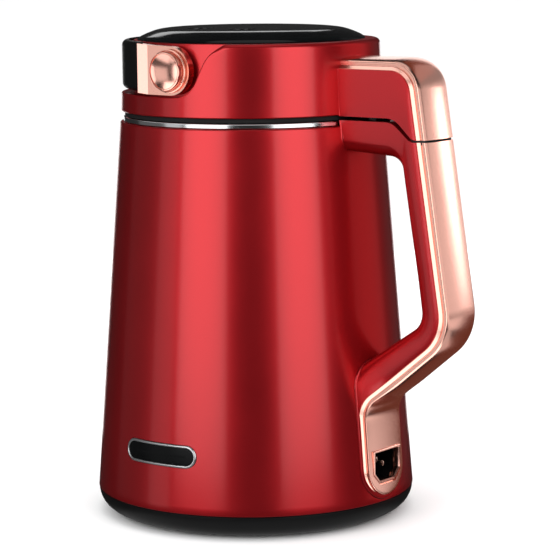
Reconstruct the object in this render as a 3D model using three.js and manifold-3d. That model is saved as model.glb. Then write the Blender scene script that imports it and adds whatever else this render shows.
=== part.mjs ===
// Soy milk maker: a heated cup, a lift-off head that holds the motor and its blade, a D-handle that
// is split between the two, and a carry bail that lies round the head.
// Millimetres, +Z up, floor at zero. Everything is laid out from the cup's own axis, the handle
// towards +X and the badge towards -Y. At the end the model is moved along X, so that its origin
// is the middle of its footprint.
import * as THREE from 'three';
import { mergeVertices } from 'three/addons/utils/BufferGeometryUtils.js';
import Module from 'manifold-3d';

const wasm = await Module();
wasm.setup();

// Clearances, overrun of cutters and fineness of round forms
const fitGap = 0.3;
const runningGap = 0.5;
const overrun = 4;
const weldDistance = 1e-4;
const bigFacets = 48;
const innerFacets = 28;
const midFacets = 20;
const smallFacets = 10;
const cornerSteps = 2;
const bendSteps = 5;

// Feet and base ring
const footProud = 1.2;
const footRadius = 8;
const footSink = 1.1;
const footCircle = 73;
const footCount = 4;
const baseRingHeight = 13.8;
const baseToeIn = 13.7;
const baseFloor = 5.2;
const baseWall = 3;
const spigotHeight = 9;
const bottomPlateRadius = 61.7;
const bottomPlateThickness = 2.7;
const bottomPlateSeat = 6;
const screwCount = 3;
const screwRadius = 1.5;
const screwHeadRadius = 2.8;
const screwHeadHeight = 1.4;

// Cup shell
const shellBottomRadius = 100;
const shellTopRadius = 82.3;
const shellHeight = 230.9;
const shellWall = 1.8;
const shellLipWidth = 5.5;
const shellEdgeRound = 1;

// Steel liner
const rimStepIn = 2.1;
const rimHeight = 3;
const rimWidth = 3.2;
const rimRound = 0.8;
const linerWall = 1;
const linerThroatInset = 13.8;
const linerDraft = 3;
const linerFloorRise = 30.7;
const linerCorner = 12;
const linerThroatDepth = 11.5;
const linerFunnelDepth = 6;

// Heater under the liner
const heaterPlateMargin = 1.4;
const heaterPlateThickness = 6.5;
const heaterRingInset = 12;
const heaterTubeRadius = 4;
const heaterRingOpening = 26;
const heaterTerminalLength = 9;
const heaterTerminalRadius = 1.6;
const thermostatRadius = 9;
const thermostatHeight = 8;
const thermostatFlange = 2;

// Head sleeve
const sealHeight = 3.2;
const headStepIn = 0.8;
const headHeight = 43.7;
const headTaper = 1.5;
const sleeveWall = 2.6;
const sleeveEdgeRound = 3;
const shoulderWidth = 7.5;
const sleeveBoreDepth = 9.3;
const sleeveCoreWall = 4;

// Scooped pocket round the bail
const pivotHeight = 27.7;
const eyeRadius = 14.7;
const eyeProud = 0.5;
const pocketFlatDepth = 1.7;
const pocketLedge = 15.9;
const pocketCoreGap = 1;
// Edge of the pocket, from the ledge up to the sleeve's shoulder, as shares of the eye's radius
const pocketEdgeShares = [
  [0.1, -1.08], [0.5, -1.05], [0.86, -0.88], [1.12, -0.6], [1.29, -0.27],
  [1.45, 0.1], [1.64, 0.47], [1.92, 0.79], [2.41, 1.1], [2.86, 1.16],
];

// Top cap: radius and rise as shares of the cap's own
const capRise = 7.4;
const capWall = 2.4;
const capSpigot = 5;
const capProfileShares = [
  [1, 0], [0.985, 0.1], [0.93, 0.34], [0.86, 0.58], [0.79, 0.74], [0.7, 0.85], [0.55, 0.93], [0.3, 0.98],
];
const capFlatShare = 0.6;
const capFallShare = 0.1;

// Press keys in the cap
const keyRadius = 8;
const keySpread = 16;
const keyForward = 30;
const keyThickness = 2.2;
const keyProud = 0.3;
const keyTravel = 0.8;
const keyStemRadius = 2.5;
const keyFlange = 1.2;
const keyFlangeThickness = 1;
const switchSide = 6;
const switchHeight = 1.5;

// Handle, side view: the line where the red housing meets the gold band
const handleDrop = 15.8;
const handleShoulderReach = 127.7;
const handleShoulderBend = 14;
const handleElbowReach = 151.8;
const handleElbowHeight = 124.7;
const handleElbowBend = 26;
const heelHeight = 77.6;
const heelBend = 20;
const footInset = 1.9;
const bandFootHeight = 18.2;
// The finger side of the housing
const gripTopInset = 5;
const gripTopDrop = 22.6;
const gripRootDrop = 19.3;
const gripBend = 13;
const gripBottomInset = 15.8;
const gripBottomRise = 6;
const gripEndRise = 17;
const gripRound = 8;
// Widths
const handleHalfWidth = 16.8;
const bandFootHalfWidth = 19.3;
const housingFootHalfWidth = 21;
const housingFootHeight = 16.9;
const housingFootTop = 104;
const housingFootDepth = 12;
const housingProud = 0.7;
// Gold band across its width
const bandChamferHeight = 2.2;
const bandChamferInset = 1.2;
const grooveDepth = 0.6;
const grooveWidth = 0.8;
const bandEdgeHeight = 1;
const bandCrown = 3.2;
const bandFootCrownShare = 0.35;
const bandCrownSteps = 8;
// Split between head and cup
const splitGap = 2.4;
const splitFineGap = 0.8;
const splitDipInset = 10.3;
const splitRun = 13.8;
const splitDip = 11.6;

// Appliance inlet
const inletHeight = 38;
const inletHalfWidth = 12.6;
const inletHalfHeight = 8.9;
const inletChamfer = 5.6;
const inletProud = 1.8;
const inletFrameWidth = 1.7;
const inletBevel = 1;
const inletWall = 1.5;
const inletDepth = 15;
const inletBack = 3;
const inletRecess = 4.8;
const pinWidth = 2;
const pinTall = 4;
const pinLength = 12;
const pinSpread = 7;
const pinLift = 2.5;
const pinTail = 5;

// Coupler that feeds the head
const couplerPlaceShare = 0.42;
const couplerLengthShare = 0.47;
const couplerWidth = 23;
const socketDepth = 13;
const plugHeight = 9;
const bladeThickness = 1.2;
const bladeWidthShare = 0.3;
const bladeDrop = 7;
const bladeSpread = 7;
const bladeCount = 3;

// Badge on the front
const badgeHalfLength = 26.8;
const badgeHalfHeight = 6.9;
const badgeHeight = 50;
const badgeRecess = 0.9;
const badgeRimWidth = 1.3;
const badgeRimProud = 0.8;
const badgeFaceProud = 0.3;

// Bail
const bailThickness = 5;
const bailCrease = 17;
const bailArmEnd = 30;
const gripInsideGap = 2.5;
const gripBandThickness = 4.4;
const gripBandRound = 2.1;
const hubRadius = 9;
const pivotPinRadius = 4;
const pivotPinReach = 3.5;
const collarRadius = 12.4;
const collarHeight = 1.8;
const pivotCapRadius = 11.2;
const pivotCapSide = 3.8;
const pivotCapDome = 1.2;

// Chassis and steel lower cover of the head
const chassisThickness = 3;
const chassisBore = 38;
const coverFlangeInset = 10.5;
const coverFlangeThickness = 1.3;
const coverInset = 19.5;
const coverDepth = 46.3;
const coverWall = 1;
const coverCorner = 10;
const coverHubRadius = 10;
const coverHubDepth = 6;
const sealInset = 0.9;
const sealWidth = 7.9;

// Motor
const shaftRadius = 4;
const shaftEndRadius = 3;
const shaftEndLength = 9.8;
const shaftBottomHeight = 75;
const bearingRadius = 9.5;
const bearingHeight = 7;
const lowerBearingRise = 8;
const seatStep = 2;
const seatWall = 3;
const webThickness = 3;
const statorRise = 33.7;
const statorHeight = 28;
const statorRadius = 34;
const statorYoke = 6;
const poleNeckHalfWidth = 9;
const airGap = 0.6;
const rotorRadius = 15.7;
const coilThickness = 6;
const coilWidth = 7;
const rotorInset = 1;
const commutatorRadius = 9.5;
const commutatorHeight = 9;
const commutatorRise = 4.5;
const brushLength = 15;
const brushWidth = 5.5;
const brushHeight = 6;
const bracketHeight = 17;
const bracketBar = 3.2;
const bracketHalfWidth = 8;
const bracketLeg = 4;
const fanRadius = 25;
const fanDisc = 1.4;
const fanVaneHeight = 5;
const fanVaneThickness = 1.2;
const fanVaneCount = 9;
const fanRise = 9;
const sealLipRadius = 8;
const sealLipHeight = 5;

// Blade
const bladeReach = 27;
const bladeRootHalfWidth = 6;
const bladeTipHalfWidth = 3;
const bladePlate = 1.6;
const bladeHubRadius = 7.5;
const bladeTilt = 20;
const bladeArms = 4;
const nutRadius = 6;
const nutHeight = 5.4;
const nutSides = 6;

// Rods that hang under the lower cover
const rodFlange = 2;
const rodFlangeThickness = 2.4;
const rodPlaceShare = 0.55;
const probeRadius = 3;
const probeLength = 112;
const probeAngle = 150;
const electrodeRadius = 2.2;
const electrodeLength = 20;
const electrodeAngle = -48;

// Boards
const boardThickness = 1.6;
const powerBoardRoom = 6;
const powerBoardWidth = 62;
const powerBoardPost = 2;
const powerBoardPostRadius = 2.5;
const relayLengthShare = 0.54;
const relayWidth = 18;
const relayHeight = 15;
const transformerLengthShare = 0.62;
const transformerWidth = 22;
const transformerHeight = 20;

// Heights and radii that follow from the sizes above
const ringTopZ = footProud + baseRingHeight;
const shellBottomZ = ringTopZ + fitGap;
const shellTopZ = shellBottomZ + shellHeight;
const rimBottomZ = shellTopZ + fitGap;
const rimTopZ = rimBottomZ + rimHeight;
const headBottomZ = rimTopZ + sealHeight;
const headTopZ = headBottomZ + headHeight;
const pivotZ = headBottomZ + pivotHeight;
const handleTopZ = headTopZ - handleDrop;
const splitZ = (rimTopZ + headBottomZ) / 2;
const gripTopHeight = splitZ - gripTopDrop;
const gripRootHeight = splitZ - gripRootDrop;
const rimRadius = shellTopRadius - rimStepIn;
const linerTopRadius = rimRadius - linerThroatInset;
const linerFloorRadius = linerTopRadius - linerDraft;
const heaterPlateRadius = linerFloorRadius - linerCorner - heaterPlateMargin;
const heaterRingRadius = heaterPlateRadius - heaterRingInset;
const inletFace = shellBottomRadius + inletProud;
const inletFront = inletFace - inletRecess;
const headBottomRadius = shellTopRadius - headStepIn;
const headTopRadius = headBottomRadius - headTaper;
const eyeFace = headTopRadius + eyeProud;
const coverFlangeRadius = headBottomRadius - coverFlangeInset;
const coverRadius = headBottomRadius - coverInset;
const seatRadius = statorRadius + seatStep;
const gripTopReach = handleShoulderReach - gripTopInset;
const gripBottomReach = handleElbowReach - gripBottomInset;
const gripBottomHeight = handleElbowHeight + gripBottomRise;
const gripEndHeight = heelHeight + gripEndRise;
const splitDipReach = handleShoulderReach - splitDipInset;
const couplerRoom = splitDipReach - headBottomRadius;
const couplerReach = headBottomRadius + couplerRoom * couplerPlaceShare;
const couplerLength = couplerRoom * couplerLengthShare;
const bladeWidth = couplerLength * bladeWidthShare;
const splitLowReach = splitDipReach + splitRun;
const capRadius = headTopRadius - shoulderWidth;
const coreRadius = capRadius + pocketCoreGap;
const pocketFloor = coreRadius - pocketFlatDepth;
const sleeveCoreBore = coreRadius - sleeveCoreWall;
const pivotPinInside = sleeveCoreBore - pivotPinReach;
const powerBoardLength = pivotPinInside - statorRadius - powerBoardRoom;
const powerBoardX = powerBoardLength / 2 - pivotPinInside;
const linerFloorZ = shellBottomZ + linerFloorRise;
const chassisZ = headBottomZ + fitGap;
const chassisTopZ = chassisZ + chassisThickness;
const coverFlangeZ = chassisZ - fitGap - coverFlangeThickness;
const coverFloorZ = coverFlangeZ - coverDepth;
const seatZ = coverFloorZ + coverWall + fitGap;
const statorZ = seatZ + statorRise;
const statorTopZ = statorZ + statorHeight;
const lowerBearingZ = seatZ + lowerBearingRise;
const bracketTopZ = statorTopZ + fitGap + bracketHeight;
const controlBoardTopZ = headTopZ - fitGap;
const controlBoardRadius = sleeveCoreBore - capWall - 2 * fitGap;
const bladeZ = shaftBottomHeight + shaftEndLength - fitGap - bladePlate;
const shaftTopZ = bracketTopZ + bearingHeight - fitGap;

const { mapLinear, lerp, degToRad } = THREE.MathUtils;
const rodCircle = lerp(seatRadius, coverRadius - coverCorner, rodPlaceShare);
const coneRadius = (z) => mapLinear(z, shellBottomZ, shellTopZ, shellBottomRadius, shellTopRadius);
const sleeveRadius = (z) => mapLinear(z, headBottomZ, headTopZ, headBottomRadius, headTopRadius);

// Turns a closed geometry into a solid that can be joined and cut
function solid(geometry) {
  geometry.deleteAttribute('normal');
  geometry.deleteAttribute('uv');
  const welded = mergeVertices(geometry, weldDistance);
  const places = welded.attributes.position;
  const corner = [new THREE.Vector3(), new THREE.Vector3(), new THREE.Vector3()];
  const faces = [];
  let volume = 0;
  for (let i = 0; i < welded.index.count; i += 3) {
    const face = [0, 1, 2].map((k) => welded.index.getX(i + k));
    if (new Set(face).size < 3) continue;
    face.forEach((vertex, k) => corner[k].fromBufferAttribute(places, vertex));
    volume += corner[0].dot(corner[1].clone().cross(corner[2]));
    faces.push(face);
  }
  if (volume < 0) faces.forEach((face) => face.reverse());
  const mesh = new wasm.Mesh({
    numProp: 3,
    vertProperties: Float32Array.from(places.array),
    triVerts: Uint32Array.from(faces.flat()),
  });
  return new wasm.Manifold(mesh);
}

// Turns a finished solid back into a geometry for its mesh
function geometryOf(body) {
  const mesh = body.getMesh();
  const geometry = new THREE.BufferGeometry();
  geometry.setAttribute('position', new THREE.BufferAttribute(Float32Array.from(mesh.vertProperties), 3));
  geometry.setIndex(new THREE.BufferAttribute(Uint32Array.from(mesh.triVerts), 1));
  geometry.computeVertexNormals();
  return geometry;
}

// A solid of revolution about Z from a closed outline of [radius, z] points
function revolve(outline, facets = bigFacets) {
  const points = [...outline, outline[0]].map(([radius, z]) => new THREE.Vector2(radius, z));
  return solid(new THREE.LatheGeometry(points, facets).rotateX(Math.PI / 2));
}

// A cylinder about Z between two heights
function cylinder(radius, low, high, facets = smallFacets) {
  const geometry = new THREE.CylinderGeometry(radius, radius, high - low, facets);
  return solid(geometry.rotateX(Math.PI / 2).translate(0, 0, (low + high) / 2));
}

// A box between two corners
function box(x0, x1, y0, y1, z0, z1) {
  const geometry = new THREE.BoxGeometry(x1 - x0, y1 - y0, z1 - z0);
  return solid(geometry.translate((x0 + x1) / 2, (y0 + y1) / 2, (z0 + z1) / 2));
}

function shapeOf(outline) {
  return new THREE.Shape(outline.map(([a, b]) => new THREE.Vector2(a, b)));
}

// Prisms of a flat outline along each axis
function prismZ(outline, low, high) {
  const geometry = new THREE.ExtrudeGeometry(shapeOf(outline), { depth: high - low, bevelEnabled: false });
  return solid(geometry.translate(0, 0, low));
}

function prismY(outline, low, high) {
  const geometry = new THREE.ExtrudeGeometry(shapeOf(outline), { depth: high - low, bevelEnabled: false });
  return solid(geometry.rotateX(Math.PI / 2).translate(0, high, 0));
}

function prismX(outline, low, high) {
  const geometry = new THREE.ExtrudeGeometry(shapeOf(outline), { depth: high - low, bevelEnabled: false });
  return solid(geometry.rotateZ(Math.PI / 2).rotateY(Math.PI / 2).translate(low, 0, 0));
}

// Points on an arc, angles in radians from the first axis
function arc(centreA, centreB, radius, from, to, steps) {
  const points = [];
  for (let k = 0; k <= steps; k += 1) {
    const angle = lerp(from, to, k / steps);
    points.push([centreA + radius * Math.cos(angle), centreB + radius * Math.sin(angle)]);
  }
  return points;
}

// A rectangle with rounded corners, as an outline
function roundedRectangle(a0, a1, b0, b1, radius, steps = cornerSteps) {
  const quarter = Math.PI / 2;
  return [
    ...arc(a1 - radius, b1 - radius, radius, 0, quarter, steps),
    ...arc(a0 + radius, b1 - radius, radius, quarter, 2 * quarter, steps),
    ...arc(a0 + radius, b0 + radius, radius, 2 * quarter, 3 * quarter, steps),
    ...arc(a1 - radius, b0 + radius, radius, 3 * quarter, 4 * quarter, steps),
  ];
}

// A slot outline with round ends, long along the first axis
function stadium(halfLength, halfHeight, centreB, steps) {
  const quarter = Math.PI / 2;
  const straight = halfLength - halfHeight;
  return [
    ...arc(straight, centreB, halfHeight, -quarter, quarter, steps),
    ...arc(-straight, centreB, halfHeight, quarter, 3 * quarter, steps),
  ];
}

// A smooth line through a table of shares
function smoothShares(shares, scaleA, scaleB, steps) {
  const curve = new THREE.SplineCurve(shares.map(([a, b]) => new THREE.Vector2(a * scaleA, b * scaleB)));
  return curve.getPoints(steps).map((point) => [point.x, point.y]);
}

// A line of straight runs in the XZ plane with rounded corners. Each point carries the normal on
// its left and the width of its corner.
function filletedPath(corners) {
  const stations = [];
  const left = (way) => new THREE.Vector2(-way.y, way.x);
  corners.forEach((corner, i) => {
    const at = new THREE.Vector2(corner.x, corner.z);
    const last = corners[i - 1];
    const next = corners[i + 1];
    const inward = last && at.clone().sub(new THREE.Vector2(last.x, last.z)).normalize();
    const outward = next && new THREE.Vector2(next.x, next.z).sub(at).normalize();
    if (!inward || !outward || !corner.bend) {
      stations.push({ at, normal: left(outward ?? inward), width: corner.width });
      return;
    }
    const turn = Math.atan2(inward.cross(outward), inward.dot(outward));
    const side = Math.sign(turn);
    const start = at.clone().addScaledVector(inward, -corner.bend * Math.tan(Math.abs(turn) / 2));
    const centre = start.clone().addScaledVector(left(inward), side * corner.bend);
    for (let k = 0; k <= bendSteps; k += 1) {
      const way = inward.clone().rotateAround(new THREE.Vector2(), (turn * k) / bendSteps);
      const normal = left(way);
      const onBend = centre.clone().addScaledVector(normal, -side * corner.bend);
      stations.push({ at: onBend, normal, width: corner.width });
    }
  });
  return stations;
}

// A closed skin over equal rings of points, capped at both ends. The section is the flat form of a
// ring, counter-clockwise, and only sets how the caps are filled.
function loft(rings, section) {
  const count = section.length;
  const faces = [];
  rings.slice(1).forEach((ring, j) => {
    for (let k = 0; k < count; k += 1) {
      const a = j * count + k;
      const b = j * count + ((k + 1) % count);
      faces.push([a, b, b + count], [a, b + count, a + count]);
    }
  });
  const lid = THREE.ShapeUtils.triangulateShape(section.map(([a, b]) => new THREE.Vector2(a, b)), []);
  const end = (rings.length - 1) * count;
  lid.forEach(([a, b, c]) => faces.push([c, b, a], [a + end, b + end, c + end]));
  const geometry = new THREE.BufferGeometry().setFromPoints(rings.flat());
  geometry.setIndex(faces.flat());
  return solid(geometry);
}

// Puts one finished sub-part into its group
function place(parent, name, body, look) {
  const material = new THREE.MeshStandardMaterial(look);
  const mesh = new THREE.Mesh(geometryOf(body), material);
  mesh.name = name;
  parent.add(mesh);
  return mesh;
}

const redLacquer = { color: 0xb3141c, roughness: 0.3, metalness: 0.55 };
const roseGold = { color: 0xd9a08c, roughness: 0.22, metalness: 1 };
const glossBlack = { color: 0x14161a, roughness: 0.12, metalness: 0 };
const satinBlack = { color: 0x161719, roughness: 0.45, metalness: 0 };
const rubberBlack = { color: 0x1b1b1c, roughness: 0.8, metalness: 0 };
const steel = { color: 0xc9cbcd, roughness: 0.18, metalness: 1 };
const zincSteel = { color: 0xa9adb0, roughness: 0.35, metalness: 1 };
const castAluminium = { color: 0xa5a8ab, roughness: 0.5, metalness: 1 };
const laminate = { color: 0x6d7074, roughness: 0.5, metalness: 0.9 };
const copper = { color: 0xb4673a, roughness: 0.35, metalness: 1 };
const brass = { color: 0xc9a14a, roughness: 0.3, metalness: 1 };
const carbon = { color: 0x2b2b2d, roughness: 0.6, metalness: 0.1 };
const circuitGreen = { color: 0x1f5a3a, roughness: 0.5, metalness: 0 };
const nylon = { color: 0xd8d4c8, roughness: 0.55, metalness: 0 };

// The outside of the cup or the head, grown by a margin and run on past both ends
function coneBody(margin) {
  const low = -overrun;
  const high = headTopZ + overrun;
  const radii = [coneRadius(low) + margin, coneRadius(high) + margin];
  return revolve([[0, low], [radii[0], low], [radii[1], high], [0, high]]);
}

function sleeveBody(margin) {
  const low = handleElbowHeight;
  const high = headTopZ + overrun;
  const radii = [sleeveRadius(low) + margin, sleeveRadius(high) + margin];
  return revolve([[0, low], [radii[0], low], [radii[1], high], [0, high]]);
}

// Outline of the handle's foot on the cup, in YZ, grown by a margin
function footOutline(halfWidth, bottom, top, margin, topRound) {
  const half = halfWidth + margin;
  const low = bottom - margin + half;
  const round = topRound + margin;
  const high = top + margin;
  return [
    ...arc(0, low, half, -Math.PI, 0, 2 * bendSteps),
    ...arc(half - round, high - round, round, 0, Math.PI / 2, bendSteps),
    ...arc(round - half, high - round, round, Math.PI / 2, Math.PI, bendSteps),
  ];
}

function footWindow(margin, inside) {
  const half = housingFootHalfWidth;
  const outline = footOutline(half, housingFootHeight, housingFootTop, margin, handleHalfWidth);
  return prismX(outline, inside, shellBottomRadius + overrun);
}

const footInside = coneRadius(housingFootTop) - housingFootDepth;

function outerShell() {
  const innerTop = shellTopZ - shellWall;
  const body = revolve([
    [shellBottomRadius, shellBottomZ],
    [coneRadius(shellTopZ - shellEdgeRound), shellTopZ - shellEdgeRound],
    [shellTopRadius - shellEdgeRound, shellTopZ],
    [shellTopRadius - shellLipWidth, shellTopZ],
    [shellTopRadius - shellLipWidth, innerTop],
    [coneRadius(innerTop) - shellWall, innerTop],
    [shellBottomRadius - shellWall, shellBottomZ],
  ]);
  const badge = badgeLayer(badgeHalfLength + fitGap, badgeHalfHeight + fitGap, -badgeRecess, overrun);
  return body.subtract(footWindow(fitGap, footInside)).subtract(badge);
}

// A stadium on the front of the cup, between two depths under or over the cone
function badgeLayer(halfLength, halfHeight, from, to) {
  const outline = stadium(halfLength, halfHeight, badgeHeight, bendSteps);
  return prismY(outline, -shellBottomRadius - overrun, 0).intersect(coneBody(to)).subtract(coneBody(from));
}

function badgeRim() {
  const outer = badgeLayer(badgeHalfLength, badgeHalfHeight, fitGap - badgeRecess, badgeRimProud);
  const holeLength = badgeHalfLength - badgeRimWidth;
  const holeHeight = badgeHalfHeight - badgeRimWidth;
  return outer.subtract(badgeLayer(holeLength, holeHeight, -overrun, overrun));
}

function badgeFace() {
  const inset = badgeRimWidth + fitGap;
  return badgeLayer(badgeHalfLength - inset, badgeHalfHeight - inset, fitGap - badgeRecess, badgeFaceProud);
}

function baseRing() {
  const topRadius = shellBottomRadius - fitGap;
  const floorZ = footProud;
  const spigotOuter = shellBottomRadius - shellWall - fitGap;
  const spigotTop = ringTopZ + spigotHeight;
  const spigotTopOuter = coneRadius(spigotTop) - shellWall - fitGap;
  const bulge = [];
  for (let k = 0; k <= 2 * cornerSteps; k += 1) {
    const angle = (Math.PI / 4) * (k / cornerSteps);
    const radius = topRadius - baseToeIn + baseToeIn * Math.cos(angle);
    bulge.push([radius, ringTopZ - baseRingHeight * Math.sin(angle)]);
  }
  const seatRadiusInner = bottomPlateRadius + fitGap - bottomPlateSeat;
  const seatUnder = floorZ + bottomPlateThickness + 2 * fitGap;
  let body = revolve([
    [spigotTopOuter, spigotTop],
    [spigotOuter, ringTopZ],
    ...bulge,
    [bottomPlateRadius + fitGap, floorZ],
    [bottomPlateRadius + fitGap, seatUnder],
    [seatRadiusInner, seatUnder],
    [seatRadiusInner, floorZ + baseFloor],
    [topRadius - baseToeIn - baseWall, floorZ + baseFloor],
    [spigotTopOuter - baseWall, ringTopZ],
    [spigotTopOuter - baseWall, spigotTop],
  ]);
  eachFoot((x, y) => {
    const recess = cylinder(footRadius + fitGap, -overrun, footProud + footSink + fitGap);
    body = body.subtract(recess.translate([x, y, 0]));
  });
  eachScrew((x, y) => {
    body = body.subtract(cylinder(screwRadius + fitGap, 0, ringTopZ).translate([x, y, 0]));
  });
  return body.subtract(footWindow(fitGap, footInside - fitGap));
}

// Calls back with the centre of every foot, and of every screw of the bottom plate
function eachFoot(act) {
  for (let k = 0; k < footCount; k += 1) {
    const angle = (Math.PI * 2 * (k + 1 / 2)) / footCount;
    act(footCircle * Math.cos(angle), footCircle * Math.sin(angle), k + 1);
  }
}

function eachScrew(act) {
  const circle = bottomPlateRadius - bottomPlateSeat / 2;
  for (let k = 0; k < screwCount; k += 1) {
    const angle = (Math.PI * 2 * k) / screwCount + Math.PI;
    act(circle * Math.cos(angle), circle * Math.sin(angle), k + 1);
  }
}

function bottomPlate() {
  const low = footProud + fitGap;
  let body = cylinder(bottomPlateRadius, low, low + bottomPlateThickness, midFacets);
  eachScrew((x, y) => {
    const hole = cylinder(screwRadius + fitGap, 0, ringTopZ);
    const sink = cylinder(screwHeadRadius + fitGap, 0, low + screwHeadHeight + fitGap);
    body = body.subtract(hole.add(sink).translate([x, y, 0]));
  });
  return body;
}

function plateScrew() {
  const low = footProud + fitGap;
  const head = cylinder(screwHeadRadius, low, low + screwHeadHeight);
  return head.add(cylinder(screwRadius, low, footProud + baseFloor));
}

function rubberFoot() {
  return cylinder(footRadius, 0, footProud + footSink);
}

function innerCup() {
  const rimInner = rimRadius - rimWidth;
  const funnelZ = rimTopZ - linerFunnelDepth;
  const throatZ = rimTopZ - linerThroatDepth;
  const throat = linerTopRadius + linerWall;
  const floorTop = linerFloorZ + linerWall;
  const inner = [
    [rimInner, rimTopZ],
    [throat + (rimInner - throat) / 3, funnelZ],
    [linerTopRadius, throatZ],
    ...arc(linerFloorRadius - linerCorner, floorTop + linerCorner, linerCorner, 0, -Math.PI / 2, cornerSteps),
    [0, floorTop],
  ];
  const outer = [
    [0, linerFloorZ],
    ...arc(linerFloorRadius - linerCorner, floorTop + linerCorner, linerCorner + linerWall, -Math.PI / 2, 0,
      cornerSteps),
    [linerTopRadius + linerWall, throatZ - linerWall],
    [throat + (rimInner - throat) / 3 + linerWall, funnelZ - linerWall],
    [rimInner - linerWall, rimBottomZ],
  ];
  return revolve([
    [rimRadius, rimBottomZ],
    [rimRadius, rimTopZ - rimRound],
    [rimRadius - rimRound, rimTopZ],
    ...inner,
    ...outer,
  ], innerFacets);
}

const heaterTopZ = linerFloorZ - fitGap;
const heaterUnderZ = heaterTopZ - heaterPlateThickness;
const heaterRingZ = heaterUnderZ - fitGap - heaterTubeRadius;

function heaterPlate() {
  return cylinder(heaterPlateRadius, heaterUnderZ, heaterTopZ, midFacets);
}

// A tube bent to an open ring, with a terminal down from each end
function heaterTube() {
  const turn = Math.PI * 2;
  const circle = arc(heaterRingRadius, heaterRingZ, heaterTubeRadius, 0, turn, cornerSteps * 4).slice(1);
  const half = heaterRingOpening / 2;
  const reach = heaterRingRadius + heaterTubeRadius + overrun;
  const opening = box(0, reach, -half, half, heaterRingZ - reach, heaterRingZ + reach);
  let body = revolve(circle, midFacets).subtract(opening);
  const atY = half + heaterTubeRadius;
  const atX = Math.sqrt(heaterRingRadius ** 2 - atY ** 2);
  for (const side of [-1, 1]) {
    const pin = cylinder(heaterTerminalRadius, heaterRingZ - heaterTerminalLength, heaterRingZ, smallFacets);
    body = body.add(pin.translate([atX, side * atY, 0]));
  }
  return body;
}

function thermostat() {
  const top = heaterUnderZ - fitGap;
  return cylinder(thermostatRadius, top - thermostatHeight, top, midFacets)
    .add(cylinder(thermostatRadius + thermostatFlange, top - thermostatFlange, top, midFacets));
}

// Side view of the handle: corners of the line between housing and band, and of the finger side
const heelReach = coneRadius(heelHeight) - footInset;
const bandEndReach = coneRadius(bandFootHeight) - footInset;
const handleStart = coneRadius(handleTopZ) - housingFootDepth;
const bandMiddle = {
  x: lerp(handleElbowReach, heelReach, 1 / 2),
  z: lerp(handleElbowHeight, heelHeight, 1 / 2),
};
const bandCorners = (footWidth) => [
  { x: handleStart, z: handleTopZ, width: handleHalfWidth },
  { x: handleShoulderReach, z: handleTopZ, bend: handleShoulderBend, width: handleHalfWidth },
  { x: handleElbowReach, z: handleElbowHeight, bend: handleElbowBend, width: handleHalfWidth },
  { ...bandMiddle, width: handleHalfWidth },
  { x: heelReach, z: heelHeight, bend: heelBend, width: footWidth },
  { x: bandEndReach, z: bandFootHeight, width: footWidth },
];
const gripCorners = [
  { x: handleStart, z: gripRootHeight },
  { x: gripTopReach, z: gripTopHeight, bend: gripBend },
  { x: gripBottomReach, z: gripBottomHeight, bend: gripBend },
  { x: lerp(gripBottomReach, footInside, 1 / 2), z: lerp(gripBottomHeight, gripEndHeight, 1 / 2) },
  { x: footInside, z: gripEndHeight },
];

// The red housing of the whole handle, before it is split: from the band's line to the finger side
function housingLoft() {
  const outer = filletedPath(bandCorners(housingFootHalfWidth)).slice(0, 2 * bendSteps + 5);
  const inner = filletedPath(gripCorners);
  const round = gripRound;
  const sectionOf = (half, depth) => [
    [-half, 0],
    [half, 0],
    ...arc(half - round, depth - round, round, 0, Math.PI / 2, cornerSteps),
    ...arc(round - half, depth - round, round, Math.PI / 2, Math.PI, cornerSteps),
  ];
  const rings = outer.map((station, i) => {
    const across = inner[i].at.clone().sub(station.at);
    const depth = across.length();
    across.normalize();
    return sectionOf(station.width, depth).map(([y, d]) => {
      const at = station.at.clone().addScaledVector(across, d);
      return new THREE.Vector3(at.x, y, at.y);
    });
  });
  return loft(rings, sectionOf(handleHalfWidth, gripTopHeight - handleElbowHeight));
}

// Section of the band from one edge over the crown to the other, as [across, height over the housing]
function bandSection(half) {
  const inset = half - bandChamferInset;
  const rise = bandCrown * mapLinear(half, handleHalfWidth, bandFootHalfWidth, 1, bandFootCrownShare);
  const notch = inset - grooveDepth;
  const grooveTop = bandChamferHeight + grooveWidth;
  const side = [[half, fitGap], [inset, bandChamferHeight], [notch, bandChamferHeight], [notch, grooveTop],
    [inset, grooveTop]];
  const edge = grooveTop + bandEdgeHeight;
  const crown = [];
  for (let k = 0; k <= bandCrownSteps; k += 1) {
    const angle = (Math.PI * k) / bandCrownSteps;
    crown.push([inset * Math.cos(angle), edge + rise * Math.sqrt(Math.sin(angle))]);
  }
  return [...side, ...crown, ...side.map(([y, n]) => [-y, n]).reverse()];
}

function bandLoft() {
  const stations = filletedPath(bandCorners(bandFootHalfWidth));
  const rings = stations.map((station) => bandSection(station.width).map(([y, n]) => {
    const at = station.at.clone().addScaledVector(station.normal, n);
    return new THREE.Vector3(at.x, y, at.y);
  }));
  return loft(rings, bandSection(handleHalfWidth));
}

// All that lies over the split between head and cup, raised or lowered by half of its gap
function aboveSplit(side) {
  const far = handleElbowReach + shellBottomRadius;
  const high = headTopZ + shellBottomRadius;
  const coarse = (side * splitGap) / 2;
  const fine = (side * splitFineGap) / 2;
  return prismY([
    [0, splitZ + coarse],
    [splitDipReach + fine, splitZ + coarse],
    [splitLowReach + fine, splitZ - splitDip + fine],
    [far, splitZ - splitDip + fine],
    [far, high],
    [0, high],
  ], -shellBottomRadius, shellBottomRadius);
}

const inletOutline = (margin) => {
  const half = inletHalfWidth + margin;
  const low = inletHeight - inletHalfHeight - margin;
  const high = inletHeight + inletHalfHeight + margin;
  const cut = inletChamfer + margin * (2 - Math.SQRT2);
  const sill = [[-half, low + cut], [cut - half, low], [half - cut, low], [half, low + cut]];
  return [[half, high], [-half, high], ...sill];
};

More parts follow.
